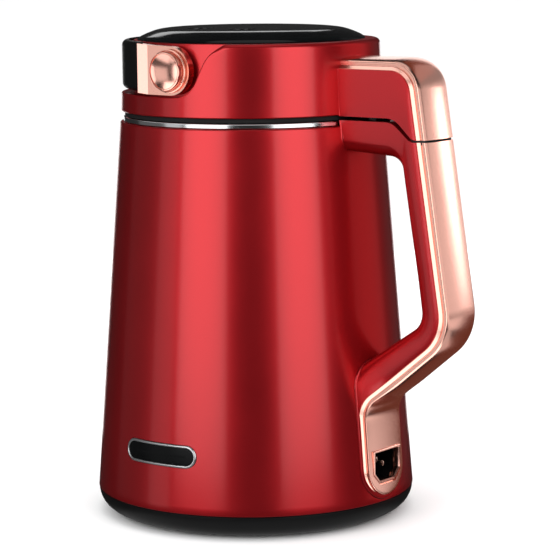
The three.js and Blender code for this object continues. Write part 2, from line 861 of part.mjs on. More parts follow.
// Seat of one half of the coupler inside the handle, between two heights
function couplerBlock(low, high, margin) {
  const halfLength = couplerLength / 2 + margin;
  const halfWidth = couplerWidth / 2 + margin;
  return box(couplerReach - halfLength, couplerReach + halfLength, -halfWidth, halfWidth, low, high);
}

const socketTopZ = splitZ - splitGap / 2;
const plugUnderZ = splitZ + splitGap / 2;

function lowerHandle() {
  const foot = footWindow(0, footInside).intersect(coneBody(housingProud));
  const keepOut = coneBody(fitGap).subtract(footWindow(0, footInside));
  const inside = box(0, footInside, -shellBottomRadius, shellBottomRadius, 0, headTopZ);
  return housingLoft()
    .add(foot)
    .subtract(keepOut)
    .subtract(inside)
    .subtract(aboveSplit(-1))
    .subtract(couplerBlock(socketTopZ - socketDepth - fitGap, splitZ, fitGap))
    .subtract(prismX(inletOutline(inletWall + fitGap), 0, shellBottomRadius + overrun));
}

function upperHandle() {
  return housingLoft()
    .intersect(aboveSplit(1))
    .subtract(sleeveBody(fitGap))
    .subtract(couplerBlock(splitZ, plugUnderZ + plugHeight + fitGap, fitGap));
}

// The band's foot ends in a half round, drawn in towards its face
function bandFootLimit() {
  const outline = footOutline(bandFootHalfWidth, bandFootHeight, headTopZ, 0, handleHalfWidth);
  const height = bandChamferHeight + grooveWidth + bandEdgeHeight + bandCrown;
  const geometry = new THREE.ExtrudeGeometry(shapeOf(outline), {
    depth: height,
    bevelThickness: height,
    bevelSize: bandChamferInset * 2,
    bevelOffset: -bandChamferInset * 2,
    bevelSegments: 1,
  });
  const seat = coneRadius(bandFootHeight) - footInset - height;
  return solid(geometry.rotateZ(Math.PI / 2).rotateY(Math.PI / 2).translate(seat, 0, 0));
}

function lowerTrim() {
  const low = prismZ([[0, -shellBottomRadius], [handleElbowReach * 2, -shellBottomRadius],
    [handleElbowReach * 2, shellBottomRadius], [0, shellBottomRadius]], 0, heelHeight - heelBend);
  const band = bandLoft().subtract(aboveSplit(-1)).subtract(coneBody(housingProud + fitGap));
  const rounded = band.subtract(low).add(band.intersect(low).intersect(bandFootLimit()));
  const frameBack = inletFront + fitGap;
  const frame = prismX(inletOutline(inletFrameWidth), frameBack, inletFace);
  return rounded
    .add(frame)
    .subtract(prismX(inletOutline(0), 0, inletFace + overrun))
    .subtract(prismX(inletOutline(inletBevel / 2), inletFace - inletBevel, inletFace + overrun))
    .subtract(prismX(inletOutline(inletFrameWidth), 0, frameBack));
}

function upperTrim() {
  return bandLoft().intersect(aboveSplit(1)).subtract(sleeveBody(fitGap));
}

function inletSocket() {
  const back = inletFront - inletDepth - inletBack;
  const body = prismX(inletOutline(inletWall), back, inletFront);
  let hollow = body.subtract(prismX(inletOutline(0), inletFront - inletDepth, inletFront + overrun));
  eachPin((y, z) => {
    const slot = pinBlock(fitGap, back - overrun, inletFront).translate([0, y, z]);
    hollow = hollow.subtract(slot);
  });
  return hollow;
}

function pinBlock(margin, from, to) {
  const halfWidth = pinWidth / 2 + margin;
  const halfTall = pinTall / 2 + margin;
  return box(from, to, -halfWidth, halfWidth, -halfTall, halfTall);
}

function eachPin(act) {
  act(-pinSpread, inletHeight - pinLift / 2, 'line');
  act(0, inletHeight + pinLift, 'earth');
  act(pinSpread, inletHeight - pinLift / 2, 'neutral');
}

function inletPin() {
  const back = inletFront - inletDepth - inletBack;
  return pinBlock(0, back - pinTail, inletFront - inletDepth + pinLength);
}

function eachBlade(act) {
  for (let k = 0; k < bladeCount; k += 1) act(couplerReach, (k - (bladeCount - 1) / 2) * bladeSpread);
}

function couplerSocket() {
  let body = couplerBlock(socketTopZ - socketDepth, socketTopZ, 0);
  eachBlade((x, y) => {
    const halfThick = bladeThickness / 2 + runningGap;
    const halfWide = bladeWidth / 2 + runningGap;
    const low = socketTopZ - bladeDrop - runningGap;
    body = body.subtract(box(x - halfWide, x + halfWide, y - halfThick, y + halfThick, low, splitZ));
  });
  return body;
}

function couplerPlug() {
  let body = couplerBlock(plugUnderZ, plugUnderZ + plugHeight, 0);
  eachBlade((x, y) => {
    const halfThick = bladeThickness / 2;
    const halfWide = bladeWidth / 2;
    body = body.add(box(x - halfWide, x + halfWide, y - halfThick, y + halfThick, socketTopZ - bladeDrop,
      plugUnderZ + plugHeight / 2));
  });
  return body;
}

// Head sleeve with its pocket: a prism in side view, less the round core with two flats that stays
function pocketCutter() {
  const edge = smoothShares(pocketEdgeShares, eyeRadius, eyeRadius, bendSteps * 3);
  const far = headBottomRadius + overrun;
  const ledgeZ = pivotZ - pocketLedge;
  const high = headTopZ + overrun;
  const last = edge[edge.length - 1];
  const outline = [[-far, ledgeZ], ...edge.map(([x, z]) => [x, pivotZ + z]), [last[0], high], [-far, high]];
  const round = cylinder(coreRadius, 0, high + overrun, bigFacets);
  const slab = box(-far, far, -pocketFloor, pocketFloor, 0, high + overrun);
  return prismY(outline, -far, far).subtract(round.intersect(slab));
}

function headSleeve() {
  const boreZ = headBottomZ + sleeveBoreDepth;
  const bore = headBottomRadius - sleeveWall;
  const round = sleeveEdgeRound;
  const body = revolve([
    [headBottomRadius, headBottomZ],
    [sleeveRadius(headTopZ - round), headTopZ - round],
    ...arc(headTopRadius - round, headTopZ - round, round, 0, Math.PI / 2, cornerSteps),
    [sleeveCoreBore, headTopZ],
    [sleeveCoreBore, boreZ],
    [bore, boreZ],
    [bore, headBottomZ],
  ]);
  return body.subtract(pocketCutter()).subtract(pivotBore());
}

function pivotBore() {
  const bore = cylinder(pivotPinRadius + fitGap, -shellBottomRadius, shellBottomRadius);
  return bore.rotate([90, 0, 0]).translate([0, 0, pivotZ]);
}

function capOutline(steps) {
  return smoothShares(capProfileShares, capRadius, capRise, steps).map(([r, z]) => [r, headTopZ + z]);
}

const capTopZ = headTopZ + capRise;
const keyTopZ = capTopZ + keyProud;

function headCap() {
  const spigotOuter = sleeveCoreBore - fitGap;
  const ledgeZ = headTopZ + fitGap;
  const skin = capOutline(bendSteps + cornerSteps).map(([r, z]) => [r, Math.max(z, ledgeZ)]);
  const flat = capRadius * capFlatShare;
  let body = revolve([
    [0, capTopZ - capWall],
    [flat, capTopZ - capWall - (capTopZ - headTopZ) * capFallShare],
    [spigotOuter - capWall, ledgeZ],
    [spigotOuter - capWall, headTopZ - capSpigot],
    [spigotOuter, headTopZ - capSpigot],
    [spigotOuter, ledgeZ],
    ...skin,
    [0, capTopZ],
  ]);
  for (const side of [-1, 1]) {
    const hole = cylinder(keyRadius + runningGap, headTopZ, capTopZ + overrun, midFacets);
    body = body.subtract(hole.translate([side * keySpread, -keyForward, 0]));
  }
  return body;
}

function pressKey() {
  const under = keyTopZ - keyThickness;
  const flangeTop = capTopZ - capWall - keyFlangeThickness;
  const stemLow = controlBoardTopZ + switchHeight + keyTravel + fitGap;
  return cylinder(keyRadius, flangeTop, keyTopZ, midFacets)
    .add(cylinder(keyRadius + keyFlange, flangeTop - keyFlangeThickness, flangeTop, midFacets))
    .subtract(cylinder(keyRadius - keyThickness, 0, under, midFacets))
    .add(cylinder(keyStemRadius, stemLow, under + keyThickness / 2));
}

function controlBoard() {
  const low = controlBoardTopZ - boardThickness;
  let body = cylinder(controlBoardRadius, low, controlBoardTopZ, innerFacets);
  for (const side of [-1, 1]) {
    const half = switchSide / 2;
    const part = box(-half, half, -half, half, low, controlBoardTopZ + switchHeight);
    body = body.add(part.translate([side * keySpread, -keyForward, 0]));
  }
  return body;
}

// Bail, drawn about its own pivot axis
const gripInner = coreRadius + gripInsideGap;
const gripOuter = gripInner + gripBandThickness;
const bailArmEndFace = Math.sqrt(gripOuter ** 2 - bailArmEnd ** 2);

function bailArm() {
  const inside = pocketFloor + fitGap;
  const back = eyeFace - bailThickness;
  const endBack = bailArmEndFace - bailThickness;
  const plan = [
    [-bailArmEnd, -bailArmEndFace],
    [-bailCrease, -eyeFace],
    [eyeRadius + overrun, -eyeFace],
    [eyeRadius + overrun, -back],
    [-bailCrease, -back],
    [-bailArmEnd, -endBack],
  ];
  const eye = arc(0, 0, eyeRadius, -Math.PI / 2, Math.PI / 2, bendSteps * 2);
  const side = [...eye, [-bailArmEnd, eyeRadius], [-bailArmEnd, -eyeRadius]];
  const hub = cylinder(hubRadius, inside, back + bailThickness / 2, midFacets).rotate([90, 0, 0]);
  const bore = cylinder(pivotPinRadius + runningGap, 0, eyeFace + overrun).rotate([90, 0, 0]);
  return prismZ(plan, -eyeRadius, eyeRadius)
    .intersect(prismY(side, -eyeFace - overrun, 0))
    .add(hub)
    .subtract(bore);
}

function bailGrip() {
  const outline = roundedRectangle(gripInner, gripOuter, -eyeRadius, eyeRadius, gripBandRound);
  const reach = gripOuter + overrun;
  const limit = box(-reach, -bailArmEnd - fitGap, -reach, reach, -eyeRadius, eyeRadius);
  return revolve(outline).intersect(limit);
}

// The pin and its cap are drawn along Z, with zero at the cup's axis
function pivotPin() {
  return cylinder(pivotPinRadius, pivotPinInside, eyeFace);
}

function pivotCap() {
  const low = eyeFace + fitGap;
  const collarTop = low + collarHeight;
  const sideTop = collarTop + pivotCapSide;
  const edge = (collarRadius - pivotCapRadius) / 2;
  return revolve([
    [0, low],
    [collarRadius - edge, low],
    [collarRadius, low + edge],
    [collarRadius, collarTop - edge],
    [collarRadius - edge, collarTop],
    [pivotCapRadius, collarTop],
    [pivotCapRadius, sideTop],
    [pivotCapRadius - edge, sideTop + pivotCapDome / 2],
    [pivotCapRadius / 2, sideTop + pivotCapDome * (4 / 5)],
    [0, sideTop + pivotCapDome],
  ], midFacets);
}

function headChassis() {
  let body = revolve([
    [chassisBore, chassisZ],
    [headBottomRadius - sleeveWall - fitGap, chassisZ],
    [headBottomRadius - sleeveWall - fitGap, chassisTopZ],
    [chassisBore, chassisTopZ],
  ], innerFacets);
  eachBoardPost((x, y) => {
    const post = cylinder(powerBoardPostRadius, chassisZ, chassisTopZ + powerBoardPost, smallFacets);
    body = body.add(post.translate([x, y, 0]));
  });
  return body;
}

function eachBoardPost(act) {
  const inset = powerBoardPostRadius * 2;
  for (const alongX of [-1, 1]) {
    for (const alongY of [-1, 1]) {
      act(powerBoardX + alongX * (powerBoardLength / 2 - inset), alongY * (powerBoardWidth / 2 - inset));
    }
  }
}

function powerBoard() {
  const low = chassisTopZ + powerBoardPost + fitGap;
  const top = low + boardThickness;
  const block = (length, width, height, y) => box(powerBoardX - length / 2, powerBoardX + length / 2,
    y - width / 2, y + width / 2, low, top + height);
  const relayLength = powerBoardLength * relayLengthShare;
  const transformerLength = powerBoardLength * transformerLengthShare;
  const relay = block(relayLength, relayWidth, relayHeight, (powerBoardWidth - relayWidth) / 4);
  const atY = (transformerWidth - powerBoardWidth) / 4;
  return block(powerBoardLength, powerBoardWidth, 0, 0)
    .add(relay)
    .add(block(transformerLength, transformerWidth, transformerHeight, atY));
}

function lowerCover() {
  const flangeTop = coverFlangeZ + coverFlangeThickness;
  const cornerCentre = coverRadius - coverCorner;
  const cornerZ = coverFloorZ + coverCorner;
  const outside = [
    [coverFlangeRadius, flangeTop],
    [coverFlangeRadius, coverFlangeZ],
    [coverRadius, coverFlangeZ],
    ...arc(cornerCentre, cornerZ, coverCorner, 0, -Math.PI / 2, cornerSteps),
    [coverHubRadius, coverFloorZ],
    [coverHubRadius, coverFloorZ - coverHubDepth],
    [shaftRadius + runningGap, coverFloorZ - coverHubDepth],
  ];
  const inside = [
    [shaftRadius + runningGap, coverFloorZ - coverHubDepth + coverWall],
    [coverHubRadius - coverWall, coverFloorZ - coverHubDepth + coverWall],
    [coverHubRadius - coverWall, coverFloorZ + coverWall],
    ...arc(cornerCentre, cornerZ, coverCorner - coverWall, -Math.PI / 2, 0, cornerSteps),
    [coverRadius - coverWall, flangeTop],
  ];
  let body = revolve([...outside, ...inside], innerFacets);
  for (const rod of rods) {
    const hole = cylinder(rod.radius + fitGap, coverFloorZ - overrun, coverFloorZ + overrun);
    body = body.subtract(hole.translate([rod.x, rod.y, 0]));
  }
  return body;
}

const rods = [
  { name: 'temperature_probe', radius: probeRadius, length: probeLength, angle: probeAngle },
  { name: 'foam_electrode', radius: electrodeRadius, length: electrodeLength, angle: electrodeAngle },
].map((rod) => {
  const turn = degToRad(rod.angle);
  return { ...rod, x: rodCircle * Math.cos(turn), y: rodCircle * Math.sin(turn) };
});

function hangingRod(rod) {
  const seat = coverFloorZ + coverWall + fitGap;
  const tip = coverFloorZ - rod.length;
  const shank = revolve([
    [0, tip],
    [rod.radius / 2, tip],
    [rod.radius, tip + rod.radius],
    [rod.radius, seat + rodFlangeThickness],
    [0, seat + rodFlangeThickness],
  ], smallFacets);
  return shank.add(cylinder(rod.radius + rodFlange, seat, seat + rodFlangeThickness));
}

function sealRing() {
  const outer = rimRadius - sealInset;
  return revolve([
    [outer - sealWidth, rimTopZ + fitGap],
    [outer, rimTopZ + fitGap],
    [outer, headBottomZ - fitGap / 3],
    [outer - sealWidth, headBottomZ - fitGap / 3],
  ]);
}

function shaftSeal() {
  const low = coverFloorZ - coverHubDepth + coverWall + fitGap;
  return revolve([
    [shaftRadius + runningGap, low],
    [sealLipRadius, low],
    [sealLipRadius, low + sealLipHeight],
    [shaftRadius + runningGap, low + sealLipHeight],
  ], midFacets);
}

function bearing() {
  return revolve([
    [shaftRadius + runningGap, 0],
    [bearingRadius, 0],
    [bearingRadius, bearingHeight],
    [shaftRadius + runningGap, bearingHeight],
  ], midFacets);
}

function lowerBracket() {
  const webZ = lowerBearingZ - webThickness;
  const hubOuter = bearingRadius + fitGap + seatWall;
  const top = statorZ - fitGap;
  return revolve([
    [shaftRadius + runningGap * 2, webZ],
    [seatRadius - seatWall, webZ],
    [seatRadius - seatWall, seatZ],
    [seatRadius, seatZ],
    [seatRadius, top],
    [seatRadius - seatWall, top],
    [seatRadius - seatWall, webZ + webThickness],
    [hubOuter, webZ + webThickness],
    [hubOuter, lowerBearingZ + bearingHeight - fitGap],
    [bearingRadius + fitGap, lowerBearingZ + bearingHeight - fitGap],
    [bearingRadius + fitGap, lowerBearingZ - fitGap],
    [shaftRadius + runningGap * 2, lowerBearingZ - fitGap],
  ], midFacets);
}

// Two-pole lamination stack: a round yoke and two pole shoes on necks, front and back
function motorStator() {
  const bore = rotorRadius + airGap;
  const shoeOuter = bore + coilThickness;
  const yokeInner = statorRadius - statorYoke;
  const high = statorTopZ;
  const yoke = cylinder(statorRadius, statorZ, high, midFacets)
    .subtract(cylinder(yokeInner, 0, high + overrun, midFacets));
  const shoe = cylinder(shoeOuter, statorZ, high, midFacets);
  const side = box(-shoeOuter, shoeOuter, -poleNeckHalfWidth, poleNeckHalfWidth, 0, high + overrun);
  const half = poleNeckHalfWidth;
  const reach = yokeInner + statorYoke / 2;
  const neck = box(-half, half, -reach, reach, statorZ, high);
  return yoke.add(shoe.subtract(side)).add(neck).subtract(cylinder(bore, 0, high + overrun, midFacets));
}

// A coil round the neck of the front pole, drawn as a rounded frame in side view
function fieldCoil() {
  const inside = poleNeckHalfWidth + fitGap;
  const low = statorZ - fitGap;
  const high = statorTopZ + fitGap;
  const yokeInner = statorRadius - statorYoke;
  const shoeOuter = rotorRadius + airGap + coilThickness;
  const half = coilWidth / 2;
  const outer = roundedRectangle(-inside - coilWidth, inside + coilWidth, low - half, high + half, half);
  const hole = [[-inside, low], [inside, low], [inside, high], [-inside, high]];
  const ring = prismY(outer, -yokeInner + fitGap, -shoeOuter - fitGap)
    .subtract(prismY(hole, -statorRadius, 0));
  return ring.intersect(cylinder(yokeInner - fitGap, 0, headTopZ, midFacets));
}

function upperBracket() {
  const low = statorTopZ + fitGap;
  const hubOuter = bearingRadius + fitGap + seatWall / 2;
  const reach = statorRadius - statorYoke / 4;
  const barZ = bracketTopZ - bracketBar;
  let body = box(-reach, reach, -bracketHalfWidth, bracketHalfWidth, barZ, bracketTopZ)
    .add(cylinder(hubOuter, barZ, bracketTopZ + bearingHeight - fitGap, midFacets))
    .subtract(cylinder(bearingRadius + fitGap, bracketTopZ - fitGap, headTopZ, midFacets))
    .subtract(cylinder(shaftRadius + runningGap * 2, 0, headTopZ));
  for (const side of [-1, 1]) {
    const leg = box(reach - bracketLeg, reach, -bracketHalfWidth, bracketHalfWidth, low, bracketTopZ);
    body = body.add(side < 0 ? leg.mirror([1, 0, 0]) : leg);
  }
  return body;
}

const commutatorZ = statorTopZ + commutatorRise;

function brush() {
  const inner = commutatorRadius + runningGap;
  const middle = commutatorZ + commutatorHeight / 2;
  const outer = statorRadius - statorYoke / 4 - bracketLeg - fitGap;
  const carbonEnd = Math.min(inner + brushLength, outer);
  const bar = (from, to, share) => {
    const halfWidth = brushWidth * share;
    const halfHeight = brushHeight * share;
    return box(from, to, -halfWidth, halfWidth, middle - halfHeight, middle + halfHeight);
  };
  return bar(inner, carbonEnd, 1 / 2).add(bar(inner + brushHeight, outer, 2 / 3));
}

function rotorCore() {
  const low = statorZ + rotorInset;
  const high = statorTopZ - rotorInset;
  return cylinder(rotorRadius, low, high, midFacets).subtract(cylinder(shaftRadius + fitGap, 0, headTopZ));
}

function commutator() {
  return cylinder(commutatorRadius, commutatorZ, commutatorZ + commutatorHeight, midFacets)
    .subtract(cylinder(shaftRadius + fitGap, 0, headTopZ));
}

function motorShaft() {
  const shoulder = shaftBottomHeight + shaftEndLength;
  return cylinder(shaftRadius, shoulder, shaftTopZ)
    .add(cylinder(shaftEndRadius, shaftBottomHeight, shoulder + overrun));
}

function motorFan() {
  const low = lowerBearingZ + bearingHeight + runningGap;
  const hub = shaftRadius + seatWall;
  let body = cylinder(fanRadius, low, low + fanDisc, midFacets).add(cylinder(hub, low, low + fanRise));
  for (let k = 0; k < fanVaneCount; k += 1) {
    const half = fanVaneThickness / 2;
    const vane = box(hub - half, fanRadius - half, -half, half, low, low + fanDisc + fanVaneHeight);
    body = body.add(vane.rotate([0, 0, (360 * k) / fanVaneCount]));
  }
  return body.subtract(cylinder(shaftRadius + fitGap, 0, headTopZ));
}

// Four arms on one hub plate, bent up and down in turn at the hub's edge
function blade() {
  const root = bladeHubRadius;
  const middle = bladeZ + bladePlate / 2;
  let body = cylinder(bladeHubRadius, bladeZ, bladeZ + bladePlate, midFacets);
  const arm = [[-bladePlate / 2, -bladeRootHalfWidth], [bladeReach - root, -bladeTipHalfWidth],
    [bladeReach - root, bladeTipHalfWidth], [-bladePlate / 2, bladeRootHalfWidth]];
  for (let k = 0; k < bladeArms; k += 1) {
    const tilt = k % 2 ? bladeTilt : -bladeTilt;
    const one = prismZ(arm, -bladePlate / 2, bladePlate / 2).rotate([0, tilt, 0]);
    body = body.add(one.translate([root, 0, middle]).rotate([0, 0, (360 * k) / bladeArms]));
  }
  return body.subtract(cylinder(shaftEndRadius + fitGap, 0, headTopZ));
}

function bladeNut() {
  const top = bladeZ - fitGap;
  return cylinder(nutRadius, top - nutHeight, top, nutSides)
    .subtract(cylinder(shaftEndRadius + fitGap, 0, headTopZ));
}

// Assembly
const group = new THREE.Group();
const model = new THREE.Group();
const cup = new THREE.Group();
const head = new THREE.Group();
const bail = new THREE.Group();
const rotor = new THREE.Group();
bail.position.z = pivotZ;
head.add(bail, rotor);
model.add(cup, head);
group.add(model);

place(cup, 'outer_shell', outerShell(), redLacquer);
place(cup, 'base_ring', baseRing(), satinBlack);
place(cup, 'bottom_plate', bottomPlate(), satinBlack);
eachFoot((x, y, number) => {
  place(cup, `rubber_foot_${number}`, rubberFoot(), rubberBlack).position.set(x, y, 0);
});
eachScrew((x, y, number) => {
  place(cup, `plate_screw_${number}`, plateScrew(), zincSteel).position.set(x, y, 0);
});
place(cup, 'inner_cup', innerCup(), steel);
place(cup, 'heater_plate', heaterPlate(), castAluminium);
place(cup, 'heater_tube', heaterTube(), zincSteel);
place(cup, 'thermostat', thermostat(), nylon);
place(cup, 'lower_handle', lowerHandle(), redLacquer);
place(cup, 'lower_handle_trim', lowerTrim(), roseGold);
place(cup, 'coupler_socket', couplerSocket(), satinBlack);
place(cup, 'inlet_socket', inletSocket(), satinBlack);
eachPin((y, z, name) => place(cup, `inlet_pin_${name}`, inletPin(), brass).position.set(0, y, z));
place(cup, 'badge_rim', badgeRim(), steel);
place(cup, 'badge_face', badgeFace(), glossBlack);

place(head, 'head_sleeve', headSleeve(), redLacquer);
place(head, 'head_cap', headCap(), glossBlack);
place(head, 'head_chassis', headChassis(), satinBlack);
place(head, 'lower_cover', lowerCover(), steel);
place(head, 'seal_ring', sealRing(), rubberBlack);
place(head, 'upper_handle', upperHandle(), redLacquer);
place(head, 'upper_handle_trim', upperTrim(), roseGold);
place(head, 'coupler_plug', couplerPlug(), satinBlack);
place(head, 'motor_stator', motorStator(), laminate);
place(head, 'field_coil_front', fieldCoil(), copper);
place(head, 'field_coil_back', fieldCoil(), copper).rotation.z = Math.PI;
place(head, 'lower_bearing_bracket', lowerBracket(), castAluminium);
place(head, 'upper_bearing_bracket', upperBracket(), castAluminium);
place(head, 'lower_bearing', bearing(), zincSteel).position.z = lowerBearingZ;
place(head, 'upper_bearing', bearing(), zincSteel).position.z = bracketTopZ;
place(head, 'brush_right', brush(), carbon);
place(head, 'brush_left', brush(), carbon).rotation.z = Math.PI;
place(head, 'control_board', controlBoard(), circuitGreen);
place(head, 'power_board', powerBoard(), circuitGreen);
place(head, 'shaft_seal', shaftSeal(), rubberBlack);
for (const rod of rods) place(head, rod.name, hangingRod(rod), steel).position.set(rod.x, rod.y, 0);
for (const [name, turn] of [['front', 1], ['back', -1]]) {
  const pair = [
    place(head, `pivot_pin_${name}`, pivotPin(), zincSteel),
    place(head, `pivot_cap_${name}`, pivotCap(), roseGold),
  ];
  for (const mesh of pair) {
    mesh.position.z = pivotZ;
    mesh.rotation.x = (turn * Math.PI) / 2;
  }
}
for (const [name, side] of [['select', -1], ['start', 1]]) {
  place(head, `key_${name}`, pressKey(), satinBlack).position.set(side * keySpread, -keyForward, 0);
}

place(bail, 'bail_arm_front', bailArm(), roseGold);
place(bail, 'bail_arm_back', bailArm(), roseGold).rotation.x = Math.PI;
place(bail, 'bail_grip', bailGrip(), satinBlack);

place(rotor, 'rotor_core', rotorCore(), laminate);
place(rotor, 'motor_shaft', motorShaft(), steel);
place(rotor, 'commutator', commutator(), copper);
place(rotor, 'motor_fan', motorFan(), satinBlack);
place(rotor, 'blade', blade(), steel);
place(rotor, 'blade_nut', bladeNut(), steel);

const footprint = new THREE.Box3().setFromObject(model);
model.position.x = -(footprint.min.x + footprint.max.x) / 2;
group.updateMatrixWorld(true);

export default group;
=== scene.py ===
# Looks of the soy milk maker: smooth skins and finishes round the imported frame, a pale studio and
# the camera. Sizes in the tables are millimetres from the cup's own axis, with the handle towards
# +X, the badge towards -Y and the floor at zero.
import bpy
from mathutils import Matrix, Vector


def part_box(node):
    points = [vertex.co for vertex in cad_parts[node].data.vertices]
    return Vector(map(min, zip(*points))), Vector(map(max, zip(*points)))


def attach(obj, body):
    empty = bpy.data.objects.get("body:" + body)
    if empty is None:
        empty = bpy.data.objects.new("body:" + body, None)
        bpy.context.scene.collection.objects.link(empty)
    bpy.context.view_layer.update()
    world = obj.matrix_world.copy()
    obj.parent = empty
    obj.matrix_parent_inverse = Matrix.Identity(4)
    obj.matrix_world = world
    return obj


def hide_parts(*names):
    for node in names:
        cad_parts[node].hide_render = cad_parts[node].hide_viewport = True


bl_info = {
    "name": "Soy milk maker looks",
    "version": (1, 0, 0),
    "blender": (4, 5, 0),
    "location": "3D View > Sidebar > Soy Milk Maker",
    "description": "Builds the skins, finishes and studio of a soy milk maker round its packed frame",
    "category": "Object",
}

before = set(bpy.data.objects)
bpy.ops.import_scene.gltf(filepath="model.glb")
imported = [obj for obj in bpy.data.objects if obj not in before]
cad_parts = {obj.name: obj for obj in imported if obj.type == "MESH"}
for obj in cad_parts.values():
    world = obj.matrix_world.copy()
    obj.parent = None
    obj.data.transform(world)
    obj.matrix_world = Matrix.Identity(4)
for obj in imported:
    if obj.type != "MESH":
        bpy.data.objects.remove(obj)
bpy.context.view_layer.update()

import math

import bmesh
import bpy
from mathutils import Matrix, Vector

MM = 0.001
TAB = "Soy Milk Maker"
ROUND_STEPS = 192
SMALL_STEPS = 72
ROD_STEPS = 48
BEND_STEPS = 14
RUN_STEPS = 9
WELD = 0.01

cap_low, cap_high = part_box("head_cap")
AXIS_X = (cap_low.x + cap_high.x) / 2 / MM

# Cup, liner and head
RING_BOTTOM, RING_TOP = 1.2, 15.0
SHELL_BOTTOM, SHELL_TOP = 15.3, 246.2
SHELL_WALL = 1.8
RIM_RADIUS, RIM_BOTTOM, RIM_TOP = 80.2, 246.5, 249.5
HEAD_BOTTOM, HEAD_TOP = 252.7, 296.4
HEAD_BOTTOM_RADIUS, HEAD_TOP_RADIUS = 81.5, 80.0
CORE_RADIUS, CORE_BORE = 73.5, 69.5
CAP_TOP = 303.9
# Section of the top cap, from its edge on the sleeve to its middle
CAP_EDGE = [
    (71.0, 296.5), (70.3, 297.4), (68.6, 298.6), (66.0, 299.8), (62.8, 301.1), (59.6, 302.15), (55.5, 303.0),
    (48.0, 303.6), (30.0, 303.85), (0.0, 303.9),
]
PIVOT_HEIGHT = 280.4
EYE_RADIUS, EYE_FACE, POCKET_FLOOR = 14.7, 80.5, 71.8
LEDGE_HEIGHT = 264.5
# Edge of the scooped pocket in side view, from the ledge up to the top of the sleeve
POCKET_EDGE = [
    (1.5, 264.5), (7.4, 265.0), (12.6, 267.5), (16.5, 271.6), (19.0, 276.4),
    (21.3, 281.9), (24.1, 287.3), (28.2, 292.0), (35.4, 296.6), (42.0, 297.6),
]

# Handle, side view
HANDLE_ROOT = 66.0
BAND_LINE = 280.6
SHOULDER, SHOULDER_BEND = (127.7, BAND_LINE), 14.0
ELBOW, ELBOW_BEND = (151.8, 124.7), 26.0
HEEL_HEIGHT, HEEL_BEND, FOOT_INSET = 77.6, 20.0, 1.9
GRIP_TOP, GRIP_BOTTOM, GRIP_BEND = (122.7, 228.5), (136.0, 130.7), 13.0
GRIP_ROOT_HEIGHT, GRIP_END = 231.8, (81.3, 94.6)
FOOT_HALF, FOOT_LOW, FOOT_HIGH = 21.0, 16.9, 104.0
BAND_FOOT_HALF, BAND_FOOT_LOW = 19.3, 18.2
HANDLE_HALF = 16.8
# The handle spreads into its foot below a height, over a distance from the cup
FLARE_TOP, FLARE_REACH = 150.0, 24.0
LOWER_ROOT_TOP, UPPER_ROOT_BOTTOM = 249.6, 252.5
UPPER_SPLIT = [(40, 252.3, 0), (118.6, 252.3, 13), (131.7, 240.1, 6), (190, 240.1, 0)]
LOWER_SPLIT = [(40, 249.9, 0), (116.9, 249.9, 12), (130.3, 238.7, 7), (190, 238.7, 0)]

# Appliance inlet
INLET_HEIGHT, INLET_HALF, INLET_HALF_HEIGHT, INLET_CHAMFER = 38.0, 12.6, 8.9, 5.6
INLET_FACE, INLET_FRONT, INLET_FLOOR = 101.8, 97.0, 82.0

BADGE_HEIGHT, BADGE_RECESS = 50.0, 0.9


def linear(code):
    """An sRGB colour such as #b3141c as linear values."""
    parts = [int(code[i:i + 2], 16) / 255 for i in (1, 3, 5)]
    return [c / 12.92 if c <= 0.04045 else ((c + 0.055) / 1.055) ** 2.4 for c in parts]


def length(name, text, millimetres):
    """A size that a user would change, kept in metres."""
    return bpy.props.FloatProperty(
        name=name, description=text, default=millimetres * MM, min=0.0, unit="LENGTH")


def colour(name, text, code):
    return bpy.props.FloatVectorProperty(
        name=name, description=text, default=linear(code), min=0.0, max=1.0, size=3, subtype="COLOR")


class MakerSizes(bpy.types.PropertyGroup):
    shell_bottom: length("Cup radius, bottom", "Outer radius of the cup where it meets the base ring", 100)
    shell_top: length("Cup radius, top", "Outer radius of the cup under the steel rim", 82.3)
    seam: length("Foot seam", "Gap round the foot of the handle in the cup's shell", 0.35)
    foot_proud: length("Foot height", "How far the handle's foot stands over the cup", 0.8)
    root_fillet: length("Root fillet", "Fillet where the handle meets the head and the cup", 1.3)
    grip_round: length("Grip rounding", "Corner radius of the grip on the finger side", 8.0)
    grip_crown: length("Grip crown", "How far the grip's sides swell between their edges", 1.0)
    band_chamfer: length("Band chamfer", "Height of the bright chamfer along the gold band", 2.2)
    band_groove: length("Band groove", "Width of the groove over the band's chamfer", 0.8)
    band_crown: length("Band crown", "Height of the domed back of the gold band", 3.15)
    pocket_round: length("Pocket edge", "Edge rounding of the scooped pocket", 0.9)
    bail_bevel: length("Bail bevel", "Edge bevel on the bail's arms", 0.45)
    key_radius: length("Key radius", "Radius of the two press keys", 8.0)
    badge_half: length("Badge half length", "Half the length of the bare badge", 26.8)
    badge_half_height: length("Badge half height", "Half the height of the bare badge", 6.9)


class MakerColours(bpy.types.PropertyGroup):
    lacquer: colour("Lacquer", "Metallic red of the cup, head and handle", "#bc1f26")
    rose: colour("Rose gold", "Plating of the band, bail and pivot caps", "#ebb0a0")
    gloss_black: colour("Gloss black", "Top cap and badge face", "#060708")
    satin_black: colour("Satin black", "Base ring, grip of the bail and inlet", "#060607")
    steel: colour("Steel", "Rim, liner and wet side of the head", "#d2d4d6")
    floor: colour("Floor", "Studio floor", "#f6f6f6")


def size(name):
    return getattr(bpy.context.scene.maker_sizes, name) / MM


def tint(name):
    return list(getattr(bpy.context.scene.maker_colours, name)) + [1.0]


def cone(z):
    """Radius of the cup's outside at a height."""
    share = (z - SHELL_BOTTOM) / (SHELL_TOP - SHELL_BOTTOM)
    return size("shell_bottom") + (size("shell_top") - size("shell_bottom")) * share


